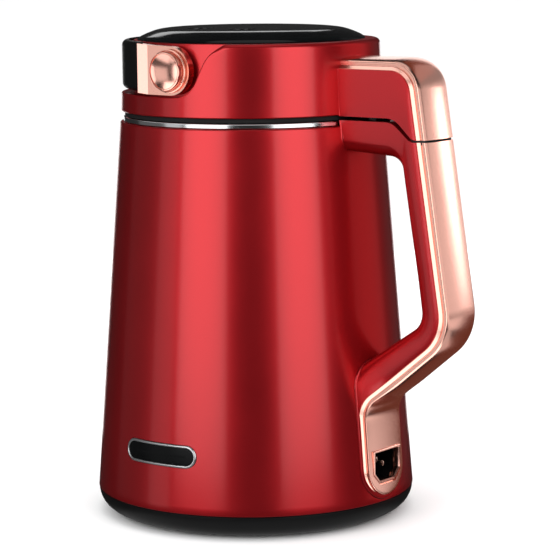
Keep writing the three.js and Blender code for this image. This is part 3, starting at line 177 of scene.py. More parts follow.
def sleeve(z):
    share = (z - HEAD_BOTTOM) / (HEAD_TOP - HEAD_BOTTOM)
    return HEAD_BOTTOM_RADIUS + (HEAD_TOP_RADIUS - HEAD_BOTTOM_RADIUS) * share


def smooth(t):
    t = max(0.0, min(1.0, t))
    return t * t * (3 - 2 * t)


def upright(x, y, z):
    """Cup axis along Z, as in the tables, to metres in the frame."""
    return ((x + AXIS_X) * MM, y * MM, z * MM)


def on_pivot(side):
    """A small axis system for turned pieces on the pivot: its Z runs outwards along the pivot."""
    return lambda x, y, z: ((x + AXIS_X) * MM, side * z * MM, (PIVOT_HEIGHT + y) * MM)


def axis_of(name):
    """Where the upright axis of a CAD node stands, as (x, y)."""
    low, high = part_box(name)
    centre = (low + high) / 2
    return centre.x / MM - AXIS_X, centre.y / MM


def on_axis(name):
    """A small axis system for turned pieces on the upright axis of a CAD node."""
    x, y = axis_of(name)
    return lambda a, b, c: upright(a + x, b + y, c)


def ends_of(name):
    """Height of the lowest and the highest point of a CAD node."""
    low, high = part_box(name)
    return low.z / MM, high.z / MM


def new_object(name, verts, faces):
    mesh = bpy.data.meshes.new(name)
    mesh.from_pydata(verts, [], faces)
    obj = bpy.data.objects.new(name, mesh)
    bpy.context.scene.collection.objects.link(obj)
    return obj


def tidy_mesh(obj, angle=28.0):
    """Welds, turns faces outwards and shades smooth up to an angle."""
    work = bmesh.new()
    work.from_mesh(obj.data)
    bmesh.ops.remove_doubles(work, verts=work.verts, dist=WELD * MM)
    bmesh.ops.dissolve_degenerate(work, edges=work.edges, dist=WELD * MM / 2)
    bmesh.ops.recalc_face_normals(work, faces=work.faces)
    work.to_mesh(obj.data)
    work.free()
    obj.data.shade_smooth()
    obj.data.set_sharp_from_angle(angle=math.radians(angle))
    return obj


def applied(obj):
    """Applies the modifiers of an object to its mesh."""
    graph = bpy.context.evaluated_depsgraph_get()
    graph.update()
    mesh = bpy.data.meshes.new_from_object(obj.evaluated_get(graph))
    obj.modifiers.clear()
    old = obj.data
    obj.data = mesh
    bpy.data.meshes.remove(old)
    return obj


def cut(target, cutter, operation="DIFFERENCE"):
    """Cuts one piece out of another, or joins it on, and removes it."""
    for one in (target, cutter):
        tidy_mesh(one)
    modifier = target.modifiers.new("cut", "BOOLEAN")
    modifier.operation = operation
    modifier.solver = "EXACT"
    modifier.object = cutter
    applied(target)
    bpy.data.objects.remove(cutter)
    return target


def bevelled(obj, width, segments, angle=40.0):
    """Rounds the edges that are sharper than an angle."""
    modifier = obj.modifiers.new("bevel", "BEVEL")
    modifier.width = width * MM
    modifier.segments = segments
    modifier.limit_method = "ANGLE"
    modifier.angle_limit = math.radians(angle)
    modifier.use_clamp_overlap = True
    return applied(obj)


def joined(first, *others):
    """Several meshes as one object."""
    work = bmesh.new()
    for one in (first, *others):
        work.from_mesh(one.data)
    work.to_mesh(first.data)
    work.free()
    for one in others:
        bpy.data.objects.remove(one)
    return first


def filleted(corners, steps, closed=True):
    """Outline of (a, b, radius) corners with each corner rounded by its radius."""
    points = []
    count = len(corners)
    for i, (a, b, radius) in enumerate(corners):
        here = Vector((a, b))
        if radius <= 0 or (not closed and i in (0, count - 1)):
            points.append((a, b))
            continue
        before = (Vector(corners[i - 1][:2]) - here).normalized()
        after = (Vector(corners[(i + 1) % count][:2]) - here).normalized()
        half = before.angle(after) / 2
        centre = here + (before + after).normalized() * (radius / math.sin(half))
        start = here + before * (radius / math.tan(half)) - centre
        end = here + after * (radius / math.tan(half)) - centre
        turn = math.copysign(math.pi - 2 * half, start.cross(end))
        for k in range(steps + 1):
            points.append(tuple(centre + Matrix.Rotation(turn * k / steps, 2) @ start))
    return points


def arc(a, b, radius, start, end, steps):
    """Points on an arc about (a, b), from one angle to another in degrees."""
    turns = [math.radians(start + (end - start) * k / steps) for k in range(steps + 1)]
    return [(a + radius * math.cos(t), b + radius * math.sin(t)) for t in turns]


def spline(points, steps=8):
    """A smooth line through points (Catmull-Rom)."""
    rows = [points[0], *points, points[-1]]
    line = []
    for p0, p1, p2, p3 in zip(rows, rows[1:], rows[2:], rows[3:]):
        for k in range(steps):
            t = k / steps
            line.append(tuple(
                (2 * b + (c - a) * t + (2 * a - 5 * b + 4 * c - d) * t * t
                 + (3 * b - a - 3 * c + d) * t ** 3) / 2
                for a, b, c, d in zip(p0, p1, p2, p3)))
    return [*line, points[-1]]


def lathe(name, outline, steps=ROUND_STEPS, place=upright):
    """Turns a closed outline of (radius, height) about its axis."""
    verts, faces, rows = [], [], []
    for radius, z in outline:
        first = len(verts)
        count = 1 if radius < 1e-6 else steps
        rows.append(range(first, first + count))
        for k in range(count):
            turn = math.tau * k / steps
            verts.append(place(radius * math.cos(turn), radius * math.sin(turn), z))
    for row, following in zip(rows, rows[1:] + rows[:1]):
        if len(row) == len(following) == 1:
            continue
        for k in range(steps):
            ring = [row[k % len(row)], row[(k + 1) % len(row)],
                    following[(k + 1) % len(following)], following[k % len(following)]]
            faces.append(list(dict.fromkeys(ring)))
    return new_object(name, verts, faces)


def loft(name, rings, ends=True):
    """A skin over equal closed rings of (x, y, z) points."""
    count = len(rings[0])
    faces = []
    for j in range(len(rings) - 1):
        for k in range(count):
            low, high = j * count, (j + 1) * count
            following = (k + 1) % count
            faces.append([low + k, low + following, high + following, high + k])
    if ends:
        faces.append(list(range(count))[::-1])
        faces.append([k + (len(rings) - 1) * count for k in range(count)])
    return new_object(name, [upright(*point) for ring in rings for point in ring], faces)


def prism(name, outline, low, high, axis="Z"):
    """A flat outline drawn out along an axis. The outline is XY, XZ or YZ."""
    order = {"Z": lambda a, b, c: (a, b, c), "Y": lambda a, b, c: (a, c, b), "X": lambda a, b, c: (c, a, b)}
    return loft(name, [[order[axis](a, b, c) for a, b in outline] for c in (low, high)])


def add_node(tree, kind, links=None, **settings):
    """Adds one node. Settings are its properties, or socket values by name or number in a dict."""
    node = tree.nodes.new(kind)
    sockets = settings.pop("values", {})
    for key, value in settings.items():
        setattr(node, key, value)
    for key, value in sockets.items():
        node.inputs[key].default_value = value
    for key, source in (links or {}).items():
        tree.links.new(source, node.inputs[key])
    return node


def finish(name, base, metallic, roughness, grain, spread=0.05, bump=0.0, stretch=(1, 1, 1), shade=0.06,
           detail=3.0, **sockets):
    """A worked surface. Grain is the size of its texture in millimetres, spread how much the roughness
    wanders, bump the depth of the texture in millimetres and shade how much the colour wanders."""
    material = bpy.data.materials.get(name)
    if material:
        return material
    material = bpy.data.materials.new(name)
    material.use_nodes = True
    tree = material.node_tree
    shader = tree.nodes["Principled BSDF"]
    shader.inputs["Metallic"].default_value = metallic
    for key, value in sockets.items():
        shader.inputs[key.replace("_", " ")].default_value = value
    place = add_node(tree, "ShaderNodeTexCoord")
    scaled = add_node(tree, "ShaderNodeMapping", {"Vector": place.outputs["Object"]},
                      values={"Scale": stretch})
    texture = add_node(tree, "ShaderNodeTexNoise", {"Vector": scaled.outputs[0]},
                       values={"Scale": 1 / (grain * MM), "Detail": detail})
    cloud = add_node(tree, "ShaderNodeTexNoise", {"Vector": place.outputs["Object"]},
                     values={"Scale": 1 / (45 * MM), "Detail": 2.0})
    both = add_node(tree, "ShaderNodeMath", {0: texture.outputs["Fac"], 1: cloud.outputs["Fac"]},
                    operation="ADD")
    rough = add_node(tree, "ShaderNodeMapRange", {"Value": both.outputs[0]},
                     values={"From Min": 0.6, "From Max": 1.4, "To Min": max(0.02, roughness - spread),
                             "To Max": roughness + spread})
    tree.links.new(rough.outputs[0], shader.inputs["Roughness"])
    half = add_node(tree, "ShaderNodeMath", {0: both.outputs[0]}, operation="MULTIPLY", values={1: 0.5})
    ramp = add_node(tree, "ShaderNodeValToRGB", {"Fac": half.outputs[0]})
    ramp.color_ramp.elements[0].position = 0.35
    ramp.color_ramp.elements[1].position = 0.65
    for element, sign in zip(ramp.color_ramp.elements, (-1, 1)):
        element.color = [max(0.0, min(1.0, c * (1 + sign * shade))) for c in base[:3]] + [1.0]
    tree.links.new(ramp.outputs["Color"], shader.inputs["Base Color"])
    if bump:
        relief = add_node(tree, "ShaderNodeBump", {"Height": texture.outputs["Fac"]},
                          values={"Strength": 1.0, "Distance": bump * MM})
        tree.links.new(relief.outputs[0], shader.inputs["Normal"])
    return material


# Metallic red lacquer over moulded ABS: aluminium flakes under a clear coat spread the light in a
# soft band, and the clear coat lays a sharper pale one on top. The flakes are 0.05 mm on the real
# one and are drawn 0.5 mm wide, as the finest that shows.
def red_lacquer():
    return finish("Metallic red lacquer on ABS", tint("lacquer"), 0.85, 0.33, 0.5, spread=0.03, bump=0.0015,
                  shade=0.05, Coat_Weight=0.58, Coat_Roughness=0.15, Coat_IOR=1.5,
                  Specular_Tint=(1.0, 0.4, 0.4, 1.0))


# Vacuum metallised rose gold on ABS: a thin metal film under a clear varnish, near mirror bright
def rose_gold():
    return finish("Metallised rose gold", tint("rose"), 1.0, 0.23, 0.9, spread=0.03, bump=0.0008, shade=0.04)


# High-gloss black ABS from a polished mould, with faint flow waves
def gloss_black():
    return finish("High-gloss black ABS", tint("gloss_black"), 0.0, 0.09, 14.0, spread=0.03, bump=0.004,
                  shade=0.2, IOR=1.52)


# Satin black polypropylene from a fine spark-eroded mould. The grain is about 0.1 mm on the real
# one and drawn at 0.6 mm, so that it shows.
def satin_black():
    return finish("Satin black polypropylene", tint("satin_black"), 0.0, 0.36, 0.6, spread=0.06, bump=0.006,
                  shade=0.25, IOR=1.49)


def film_black():
    """Black print under a semi-matt clear film: deep and quiet beside the gloss cap."""
    return finish("Back-printed black film", tint("gloss_black"), 0.0, 0.3, 1.5, spread=0.05, shade=0.2,
                  Specular_IOR_Level=0.12)


def rubber():
    """Moulded black rubber: matt, with a dusty skin."""
    return finish("Moulded black rubber", linear("#0a0a0b") + [1], 0.0, 0.75, 0.8, spread=0.08, bump=0.02,
                  shade=0.3)


def polished_steel():
    """Rolled and polished stainless steel, with a faint drawn line round it."""
    return finish("Polished stainless steel", tint("steel"), 1.0, 0.15, 1.2, spread=0.03, bump=0.0006,
                  stretch=(0.2, 0.2, 3), shade=0.03)


def brushed_steel():
    """Deep-drawn stainless steel, brushed round the axis: lines about 0.2 mm apart, drawn at 0.5 mm."""
    return finish("Brushed stainless steel", tint("steel"), 1.0, 0.3, 0.5, spread=0.08, bump=0.002,
                  stretch=(0.06, 0.06, 1), shade=0.08)


def zinc_steel():
    """Zinc-plated steel: blue-white with small grey blooms."""
    return finish("Zinc-plated steel", linear("#a9adb0") + [1], 1.0, 0.36, 2.2, spread=0.1, shade=0.12)


def cast_aluminium():
    """As-cast aluminium: matt, with a sandy skin of 0.6 mm grains."""
    return finish("As-cast aluminium", linear("#a5a8ab") + [1], 1.0, 0.5, 0.6, spread=0.1, bump=0.03,
                  shade=0.1)


def laminate():
    """Stacked electrical steel: 0.5 mm sheets with dark edges."""
    return finish("Stacked electrical steel", linear("#6d7074") + [1], 0.9, 0.5, 0.5, spread=0.1, bump=0.02,
                  stretch=(0.02, 0.02, 1), shade=0.3, detail=0.0)


def copper():
    """Enamelled copper wire, 0.8 mm, wound in layers."""
    return finish("Enamelled copper wire", linear("#b4673a") + [1], 1.0, 0.3, 0.8, spread=0.06, bump=0.05,
                  stretch=(0.1, 0.1, 1), shade=0.25, detail=0.0)


def nickel():
    """Nickel-plated brass: pale, warm and bright."""
    return finish("Nickel-plated brass", linear("#cbc7bd") + [1], 1.0, 0.22, 1.0, spread=0.06, shade=0.06)


def carbon():
    """Pressed carbon: black, with a grey bloom."""
    return finish("Pressed carbon", linear("#2b2b2d") + [1], 0.1, 0.6, 0.7, spread=0.1, bump=0.01, shade=0.3)


def circuit_board():
    """Green solder mask over glass-fibre weave of about 0.7 mm."""
    return finish("Solder mask on glass fibre", linear("#1f5a3a") + [1], 0.0, 0.4, 0.7, spread=0.08,
                  bump=0.01, shade=0.2)


def nylon():
    """Natural moulded nylon: cream and waxy."""
    return finish("Natural moulded nylon", linear("#d8d4c8") + [1], 0.0, 0.5, 3.0, spread=0.08, shade=0.06)


def wear(material_of, *nodes):
    """Gives CAD nodes that keep their shape a finish."""
    for name in nodes:
        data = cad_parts[name].data
        data.materials.clear()
        data.materials.append(material_of())


def dress(obj, material_of, body, slot, *nodes, angle=28.0):
    """Finishes a piece: smooth shading, material, body and the CAD nodes that it stands for. The slot is not
    used.
    """
    tidy_mesh(obj, angle)
    obj.data.materials.clear()
    obj.data.materials.append(material_of())
    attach(obj, body)
    if nodes:
        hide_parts(*nodes)
    return obj


def foot_shape(margin):
    """Outline of the handle's foot on the cup, as (y, z), grown by a margin."""
    half, low, high, corner = FOOT_HALF + margin, FOOT_LOW - margin, FOOT_HIGH + margin, HANDLE_HALF + margin
    return [*arc(0, low + half, half, -180, 0, 40),
            *arc(half - corner, high - corner, corner, 0, 90, 20),
            *arc(corner - half, high - corner, corner, 90, 180, 20)]


def over_cone(y, z, height):
    """The point on the handle side of the cup at (y, z), raised over its skin."""
    return (math.sqrt((cone(z) + height) ** 2 - y * y), y, z)


def over_front(x, z, height):
    """The point on the front of the cup at (x, z), raised over its skin."""
    return (x, -math.sqrt((cone(z) + height) ** 2 - x * x), z)


def badge_outline(inset):
    """The badge's outline on the front of the cup, as (x, z), drawn in by an inset."""
    straight, radius = size("badge_half") - size("badge_half_height"), size("badge_half_height") - inset
    run = [straight * (1 - k / 16) for k in range(1, 32)]
    return [*arc(straight, BADGE_HEIGHT, radius, -90, 90, 16), *[(x, BADGE_HEIGHT + radius) for x in run],
            *arc(-straight, BADGE_HEIGHT, radius, 90, 270, 16), *[(-x, BADGE_HEIGHT - radius) for x in run]]


def cone_solid(height, low=-10.0, high=330.0, radius=cone):
    """The inside of the cup, or of the sleeve, grown by a height."""
    return lathe("cone", [(0, low), (radius(low) + height, low), (radius(high) + height, high), (0, high)])


def inlet_outline(margin):
    """Outline of the inlet's mouth, as (y, z), grown by a margin."""
    half = INLET_HALF + margin
    low, high = INLET_HEIGHT - INLET_HALF_HEIGHT - margin, INLET_HEIGHT + INLET_HALF_HEIGHT + margin
    slant = INLET_CHAMFER + margin * (2 - math.sqrt(2))
    corners = [(half, high), (-half, high), (-half, low + slant), (slant - half, low), (half - slant, low),
               (half, low + slant)]
    return filleted([(y, z, 0.5) for y, z in corners], 3)


def route(corners):
    """Stations (point, left normal) along (x, z, radius) corners. A rounded corner gives BEND_STEPS + 1
    stations, and a straight run between two corners RUN_STEPS - 1 more."""
    stations = []
    for i, (x, z, radius) in enumerate(corners):
        leg = [Vector((x, z))]
        if radius > 0:
            bend = filleted(corners[i - 1:i + 2], BEND_STEPS, closed=False)[1:-1]
            leg = [Vector(point) for point in bend]
        if stations:
            start = stations[-1]
            stations += [start.lerp(leg[0], k / RUN_STEPS) for k in range(1, RUN_STEPS)]
        stations += leg
    rows = []
    for i, point in enumerate(stations):
        way = (stations[min(i + 1, len(stations) - 1)] - stations[max(i - 1, 0)]).normalized()
        rows.append((point, Vector((-way.y, way.x))))
    return rows


def band_corners():
    """The line on which the gold band lies, from the head round the grip to the foot."""
    heel = (cone(HEEL_HEIGHT) - FOOT_INSET, HEEL_HEIGHT)
    turn = BAND_FOOT_LOW + BAND_FOOT_HALF
    foot = (cone(turn) - FOOT_INSET, turn)
    middle = ((ELBOW[0] + heel[0]) / 2, (ELBOW[1] + heel[1]) / 2)
    return [(HANDLE_ROOT, BAND_LINE, 0), (*SHOULDER, SHOULDER_BEND), (*ELBOW, ELBOW_BEND), (*middle, 0),
            (*heel, HEEL_BEND), (*foot, 0)]


def grip_corners():
    """The finger side of the handle."""
    middle = ((GRIP_BOTTOM[0] + GRIP_END[0]) / 2, (GRIP_BOTTOM[1] + GRIP_END[1]) / 2)
    return [(HANDLE_ROOT, GRIP_ROOT_HEIGHT, 0), (*GRIP_TOP, GRIP_BEND), (*GRIP_BOTTOM, GRIP_BEND),
            (*middle, 0), (*GRIP_END, 0)]


def flare(x, z):
    """How far the handle has spread at a point of the band's line: 0 on the grip, 1 at the cup."""
    return 0.0 if z > FLARE_TOP else 1 - smooth((x - cone(z)) / FLARE_REACH)


def housing():
    """The red part of the handle before it is split, between the band's line and the finger side. At the
    heel it goes on down inside the cup, where it is cut off."""
    band = [point for point, _ in route(band_corners())]
    grip = [point for point, _ in route(grip_corners())]
    rest = len(band) - len(grip)
    grip += [grip[-1].lerp(Vector((66, 14)), k / rest) for k in range(1, rest + 1)]
    rings = []
    for outer, inner in zip(band, grip):
        across = inner - outer
        depth = across.length
        across.normalize()
        spread = flare(*outer)
        half = HANDLE_HALF + (FOOT_HALF - 0.9 - HANDLE_HALF) * spread
        corner = size("grip_round") + 5 * spread
        swell = size("grip_crown") * (1 - spread)
        lean = math.atan(2 * swell / (0.7 * (depth - corner)))
        run = depth - corner * (1 - math.sin(lean))
        side = [(half + swell * (1 - ((k / 12 - 0.3) / 0.7) ** 2), run * k / 12) for k in range(12)]
        side += [(half + a - corner * math.cos(lean), run + b - corner * math.sin(lean))
                 for a, b in arc(0, 0, corner, math.degrees(lean), 90, 10)]
        ring = []
        for y, d in [*side, *[(-y, d) for y, d in reversed(side)]]:
            point = outer + across * d
            ring.append((point.x, y, point.y))
        rings.append(ring)
    return loft("housing", rings)


def band_profile(half, share):
    """Half of the band's section, from its edge to its crown, as (across, height over the housing)."""
    chamfer = size("band_chamfer")
    groove_top = chamfer + size("band_groove")
    inset, notch = half - 1.2, half - 1.9
    edge = groove_top + 1
    rows = [(half, -0.15), (half, 0.25), (half - 0.15, 0.55), (inset + 0.12, chamfer - 0.12),
            (inset - 0.1, chamfer), (notch, chamfer + 0.02), (notch, groove_top - 0.02),
            (inset - 0.15, groove_top), (inset, groove_top + 0.15), (inset, edge)]
    for k in range(1, 25):
        turn = math.pi / 2 * (k / 24) ** 1.2
        rows.append((inset * math.cos(turn), edge + size("band_crown") * share * math.sin(turn) ** 0.7))
    return rows


def gold_band():
    """The band over the back of the handle, down to its half-round foot."""
    rings = []
    for point, normal in route(band_corners()):
        spread = flare(*point)
        rows = band_profile(HANDLE_HALF + (BAND_FOOT_HALF - HANDLE_HALF) * spread, 1 - 0.65 * spread)
        ring = [(y, n) for y, n in rows] + [(-y, n) for y, n in reversed(rows[:-1])]
        rings.append([(point.x + normal.x * n, y, point.y + normal.y * n) for y, n in ring])
    down = Vector((normal.y, -normal.x))
    for k in range(1, 25):
        turn = math.pi / 2 * k / 24
        end = []
        for y, n in ring:
            drop = abs(y) * math.sin(turn)
            spot = point + normal * n + down * drop
            end.append((spot.x, y * math.cos(turn), spot.y))
        rings.append(end)
    return loft("band", rings)


def above(split):
    """All that is over a split of the handle."""
    line = filleted(split, 10, closed=False)
    return prism("above", [*line, (190, 330), (40, 330)], -60, 60, "Y")


def below(split):
    """All that is under a split of the handle."""
    line = filleted(split, 10, closed=False)
    return prism("below", [(40, -10), (190, -10), *line[::-1]], -60, 60, "Y")


def root_fillets(low, high, radius):
    """The small fillets between the handle's sides and the round body."""
    parts = []
    for side in (-1, 1):
        rings = []
        for k in range(33):
            z = low + (high - low) * k / 32
            under = max(0.0, GRIP_ROOT_HEIGHT + size("grip_round") - z)
            fillet = size("root_fillet") * (1 - 0.8 * min(1.0, under / size("grip_round")))
            edge = HANDLE_HALF - size("grip_round") + math.sqrt(size("grip_round") ** 2 - under ** 2) + 0.1
            x = math.sqrt(radius(z) ** 2 - edge ** 2)
            ring = [(x - 0.6, side * (edge - 0.6), z)]
            for t in [math.pi / 2 * j / 8 for j in range(9)]:
                along, out = fillet * (1 - math.cos(t)), fillet * (1 - math.sin(t))
                ring.append((x + along - 0.05 - 0.2 * out / fillet, side * (edge + out - 0.03), z))
            rings.append(ring if side > 0 else ring[::-1])
        parts.append(loft("fillet", rings))
    return parts


class MAKER_OT_shell(bpy.types.Operator):
    """Cup shell with the seam round the handle's foot and the badge's recess"""
    bl_idname = "maker.shell"
    bl_label = "Cup shell"

    def execute(self, context):
        top, wall = SHELL_TOP, SHELL_WALL
        heights = [SHELL_BOTTOM + (top - SHELL_BOTTOM) * k / 48 for k in range(1, 48)]
        outline = filleted([
            (cone(SHELL_BOTTOM), SHELL_BOTTOM, 0.5), *[(cone(z), z, 0) for z in heights],
            (cone(top), top, 1.0),
            (cone(top) - 5.5, top, 0.4), (cone(top) - 5.5, top - wall, 0),
            (cone(top - wall) - wall, top - wall, 0), (cone(SHELL_BOTTOM) - wall, SHELL_BOTTOM, 0)], 4)
        shell = lathe("cup_shell", outline)
        cut(shell, prism("window", foot_shape(size("seam")), 40, 130, "X"))
        recess = prism("recess", badge_outline(-0.25), -130, 0, "Y")
        cut(recess, cone_solid(-BADGE_RECESS))
        cut(shell, recess)
        dress(shell, red_lacquer, "cup", "red_lacquer", "outer_shell")
        return {"FINISHED"}


class MAKER_OT_base(bpy.types.Operator):
    """Base ring, bottom plate with its screws, and the rubber feet"""
    bl_idname = "maker.base"
    bl_label = "Base and feet"

    def execute(self, context):
        top = cone(SHELL_BOTTOM) - 0.3
        bulge = [(top - 13.7 + 13.7 * math.cos(math.radians(a)), RING_TOP - 13.8 * math.sin(math.radians(a)))
                 for a in range(0, 91, 5)]
        ring = lathe("base_ring", [
            (92.5, RING_TOP + 9), (94.3, RING_TOP + 9), (95.6, RING_TOP + 0.6), (top - 0.6, RING_TOP + 0.25),
            *bulge, (62.0, RING_BOTTOM), (62.0, 4.5), (56.0, 4.5), (56.0, 6.4), (83.0, 6.4),
            (92.5, RING_TOP)])
        for foot in range(4):
            name = f"rubber_foot_{foot + 1}"
            spot = on_axis(name)
            cut(ring, lathe("recess", [(0, -4), (8.3, -4), (8.3, 2.6), (0, 2.6)], SMALL_STEPS, spot))
            pad = filleted([(0, 0, 0), (8, 0, 0.5), (8, 2.3, 0), (0, 2.3, 0)], 4)
            pad[1:1] = [(0, 0.3), (4.6, 0.3), (5.0, 0)]
            dress(lathe(name + "_pad", pad[1:], SMALL_STEPS, spot), rubber, "cup", "rubber_black", name)
        dress(ring, satin_black, "cup", "satin_black", "base_ring")
        plate = lathe("bottom_plate_disc", filleted([
            (0, 1.7, 0), (22, 1.7, 0), (23, 1.5, 0), (24, 1.5, 0), (25, 1.7, 0), (44, 1.7, 0), (45, 1.5, 0),
            (61.7, 1.5, 0.5), (61.7, 4.2, 0), (0, 4.2, 0)], 3), ROUND_STEPS)
        for screw in range(3):
            name = f"plate_screw_{screw + 1}"
            x, y = axis_of(name)
            spot = on_axis(name)
            sink = [(0, -4), (3.1, -4), (3.1, 3.2), (1.8, 3.2), (1.8, 12), (0, 12)]
            cut(plate, lathe("sink", sink, ROD_STEPS, spot))
            outline = filleted([
                (0, 1.55, 0), (2.8, 1.75, 0.3), (2.8, 2.9, 0), (1.5, 2.9, 0), (1.5, 6.4, 0), (0, 6.4, 0)], 3)
            head = lathe(name + "_head", outline, ROD_STEPS, spot)
            for wide, deep in ((1.6, 0.28), (0.28, 1.6)):
                corners = [(-wide, -deep), (wide, -deep), (wide, deep), (-wide, deep)]
                slot = [(x + a, y + b) for a, b in corners]
                cut(head, prism("slot", slot, 0.5, 2.4))
            dress(head, zinc_steel, "cup", "zinc_steel", name)
        dress(plate, satin_black, "cup", "satin_black", "bottom_plate")
        return {"FINISHED"}


class MAKER_OT_liner(bpy.types.Operator):
    """Steel liner with its rolled rim"""
    bl_idname = "maker.liner"
    bl_label = "Steel liner"

    def execute(self, context):
        outline = filleted([
            (RIM_RADIUS, RIM_BOTTOM, 0.4), (RIM_RADIUS, RIM_TOP, 1.0), (77.0, RIM_TOP, 0.8), (70.5, 243.5, 3),
            (66.4, 238.0, 6), (63.4, 60.0, 0), (63.4, 47.0, 12), (0, 47.0, 0), (0, 46.0, 0), (64.4, 46.0, 13),
            (64.4, 60.0, 0), (67.4, 237.0, 5), (71.5, 242.5, 3), (76.0, RIM_BOTTOM, 0.4)], 8)
        dress(lathe("steel_liner", outline), polished_steel, "cup", "steel", "inner_cup", angle=40)
        return {"FINISHED"}


class MAKER_OT_lower_handle(bpy.types.Operator):
    """Lower half of the handle: red housing with its foot, gold band, and inlet"""
    bl_idname = "maker.lower_handle"
    bl_label = "Lower handle"

    def execute(self, context):
        arm = cut(housing(), above(LOWER_SPLIT))
        cut(arm, cone_solid(-1.0))
        proud = size("foot_proud")
        steps = [(0, -3.0), (0, proud * 0.3), (-0.12, proud * 0.65), (-0.4, proud * 0.92), (-0.9, proud),
                 (-3, proud), (-8, proud), (-13, proud)]
        rings = [[over_cone(y, z, height) for y, z in foot_shape(margin)] for margin, height in steps]
        foot = loft("foot", rings)
        cut(foot, prism("mouth", inlet_outline(1.8), 60, 130, "X"))
        cut(arm, foot, "UNION")
        joined(arm, *root_fillets(GRIP_ROOT_HEIGHT + 1, LOWER_ROOT_TOP, cone))
        dress(arm, red_lacquer, "cup", "red_lacquer", "lower_handle")

        band = cut(gold_band(), above(LOWER_SPLIT))
        band.name = "band_lower"
        cut(band, cone_solid(proud * 0.5))
        plate = prism("frame", inlet_outline(1.7), INLET_FRONT + 0.3, INLET_FACE, "X")
        plate = bevelled(tidy_mesh(plate), 0.5, 2)
        cut(band, prism("channel", inlet_outline(2.3), INLET_FACE - 0.9, INLET_FACE + 4, "X"))
        cut(band, plate, "UNION")
        cut(band, prism("mouth", inlet_outline(0), 80, 130, "X"))
        flare_out = [(INLET_FACE - 0.9, -0.05), (INLET_FACE + 0.1, 0.75)]
        cut(band, loft("funnel", [[(x, y, z) for y, z in inlet_outline(margin)] for x, margin in flare_out]))
        dress(band, rose_gold, "cup", "rose_gold", "lower_handle_trim", angle=24)

        # A band-shaped step fills the split behind the gold band. It is satin black: it stands for the black
        # coupler in the gap, and its black also paints the gap's shade as a dark line.
        split = LOWER_SPLIT[-1][1]
        point, normal = min(route(band_corners())[:30], key=lambda row: abs(row[0].y - split))
        half = [(point.x + normal.x * (n - 0.7), y) for y, n in band_profile(HANDLE_HALF - 0.7, 1)[9:]]
        plan = [(126, half[0][1]), *half, *[(x, -y) for x, y in reversed(half)], (126, -half[0][1])]
        step = prism("split_step", plan, split - 1.5, UPPER_SPLIT[-1][1] - 0.15)
        dress(step, satin_black, "cup", "satin_black")

        socket = prism("socket", inlet_outline(1.5), INLET_FLOOR - 3, INLET_FRONT, "X")
        cut(socket, prism("hollow", inlet_outline(0), INLET_FLOOR, 130, "X"))
        dress(socket, satin_black, "cup", "satin_black", "inlet_socket")
        for name in ("line", "earth", "neutral"):
            low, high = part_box(f"inlet_pin_{name}")
            x0, x1 = low.x / MM - AXIS_X, high.x / MM - AXIS_X
            y0, y1, z0, z1 = low.y / MM, high.y / MM, low.z / MM, high.z / MM
            rings = []
            for x, m in ((x0, 0), (x1 - 2.2, 0), (x1 - 0.8, 0.25), (x1 - 0.15, 0.6), (x1, 0.8)):
                corners = [(y0 + m, z0 + m), (y1 - m, z0 + m), (y1 - m, z1 - m), (y0 + m, z1 - m)]
                rings.append([(x, y, z) for y, z in filleted([(y, z, 0.2) for y, z in corners], 3)])
            dress(loft(f"pin_{name}", rings), nickel, "cup", "brass", f"inlet_pin_{name}")
        return {"FINISHED"}


class MAKER_OT_upper_handle(bpy.types.Operator):
    """Upper half of the handle, on the head"""
    bl_idname = "maker.upper_handle"
    bl_label = "Upper handle"

    def execute(self, context):
        arm = cut(housing(), below(UPPER_SPLIT))
        cut(arm, cone_solid(-0.8, 200, 330, sleeve))
        joined(arm, *root_fillets(UPPER_ROOT_BOTTOM, BAND_LINE, sleeve))
        dress(arm, red_lacquer, "head", "red_lacquer", "upper_handle")
        band = cut(gold_band(), below(UPPER_SPLIT))
        band.name = "band_upper"
        cut(band, cone_solid(-0.8, 200, 330, sleeve))
        dress(band, rose_gold, "head", "rose_gold", "upper_handle_trim", angle=24)
        return {"FINISHED"}


def pocket_edge(edge, cosine):
    """Height of the sleeve's lip at an angle round the head, and how steeply it climbs there."""
    if sleeve(LEDGE_HEIGHT) * cosine <= edge[0][0]:
        return LEDGE_HEIGHT, 0.0
    for (x0, z0), (x1, z1) in zip(edge, edge[1:]):
        if sleeve(z1) * cosine <= x1 + 1e-6:
            share = (sleeve(z1) * cosine - x0) / (x1 - x0)
            return min(HEAD_TOP, z0 + (z1 - z0) * share), (z1 - z0) / (x1 - x0)
    return HEAD_TOP, 0.0


def sleeve_section(lip, slope):
    """Section of the head's sleeve as (radius, height) where its lip is at a height. Below the top the
    lip is the edge of the pocket, and the wall goes on up at the pocket's floor."""
    full = smooth((lip - HEAD_TOP + 7) / 7)
    across = size("pocket_round") + (3.0 - size("pocket_round")) * full
    drop = min(across * math.sqrt(1 + slope * slope), lip - LEDGE_HEIGHT + 3)
    rows = [(HEAD_BOTTOM_RADIUS - 0.5, HEAD_BOTTOM), (HEAD_BOTTOM_RADIUS, HEAD_BOTTOM + 0.5)]
    wall = lip - drop
    rows += [(sleeve(z), z) for z in (HEAD_BOTTOM + 2 + (wall - HEAD_BOTTOM - 2) * k / 12 for k in range(13))]
    rim = sleeve(wall)
    for k in range(1, 9):
        turn = math.pi / 2 * k / 8
        rows.append((rim - across * (1 - math.cos(turn)), wall + drop * math.sin(turn)))
    inner = rim - across
    rows += [(inner + (CORE_RADIUS - inner) * k / 3, lip) for k in range(1, 4)]
    rows += [(CORE_RADIUS, lip + (HEAD_TOP - 0.3 - lip) * k / 6) for k in range(1, 7)]
    return rows + [(CORE_RADIUS - 0.4, HEAD_TOP), (CORE_BORE, HEAD_TOP), (CORE_BORE, 262.0),
                   (78.9, 262.0), (78.9, HEAD_BOTTOM)]


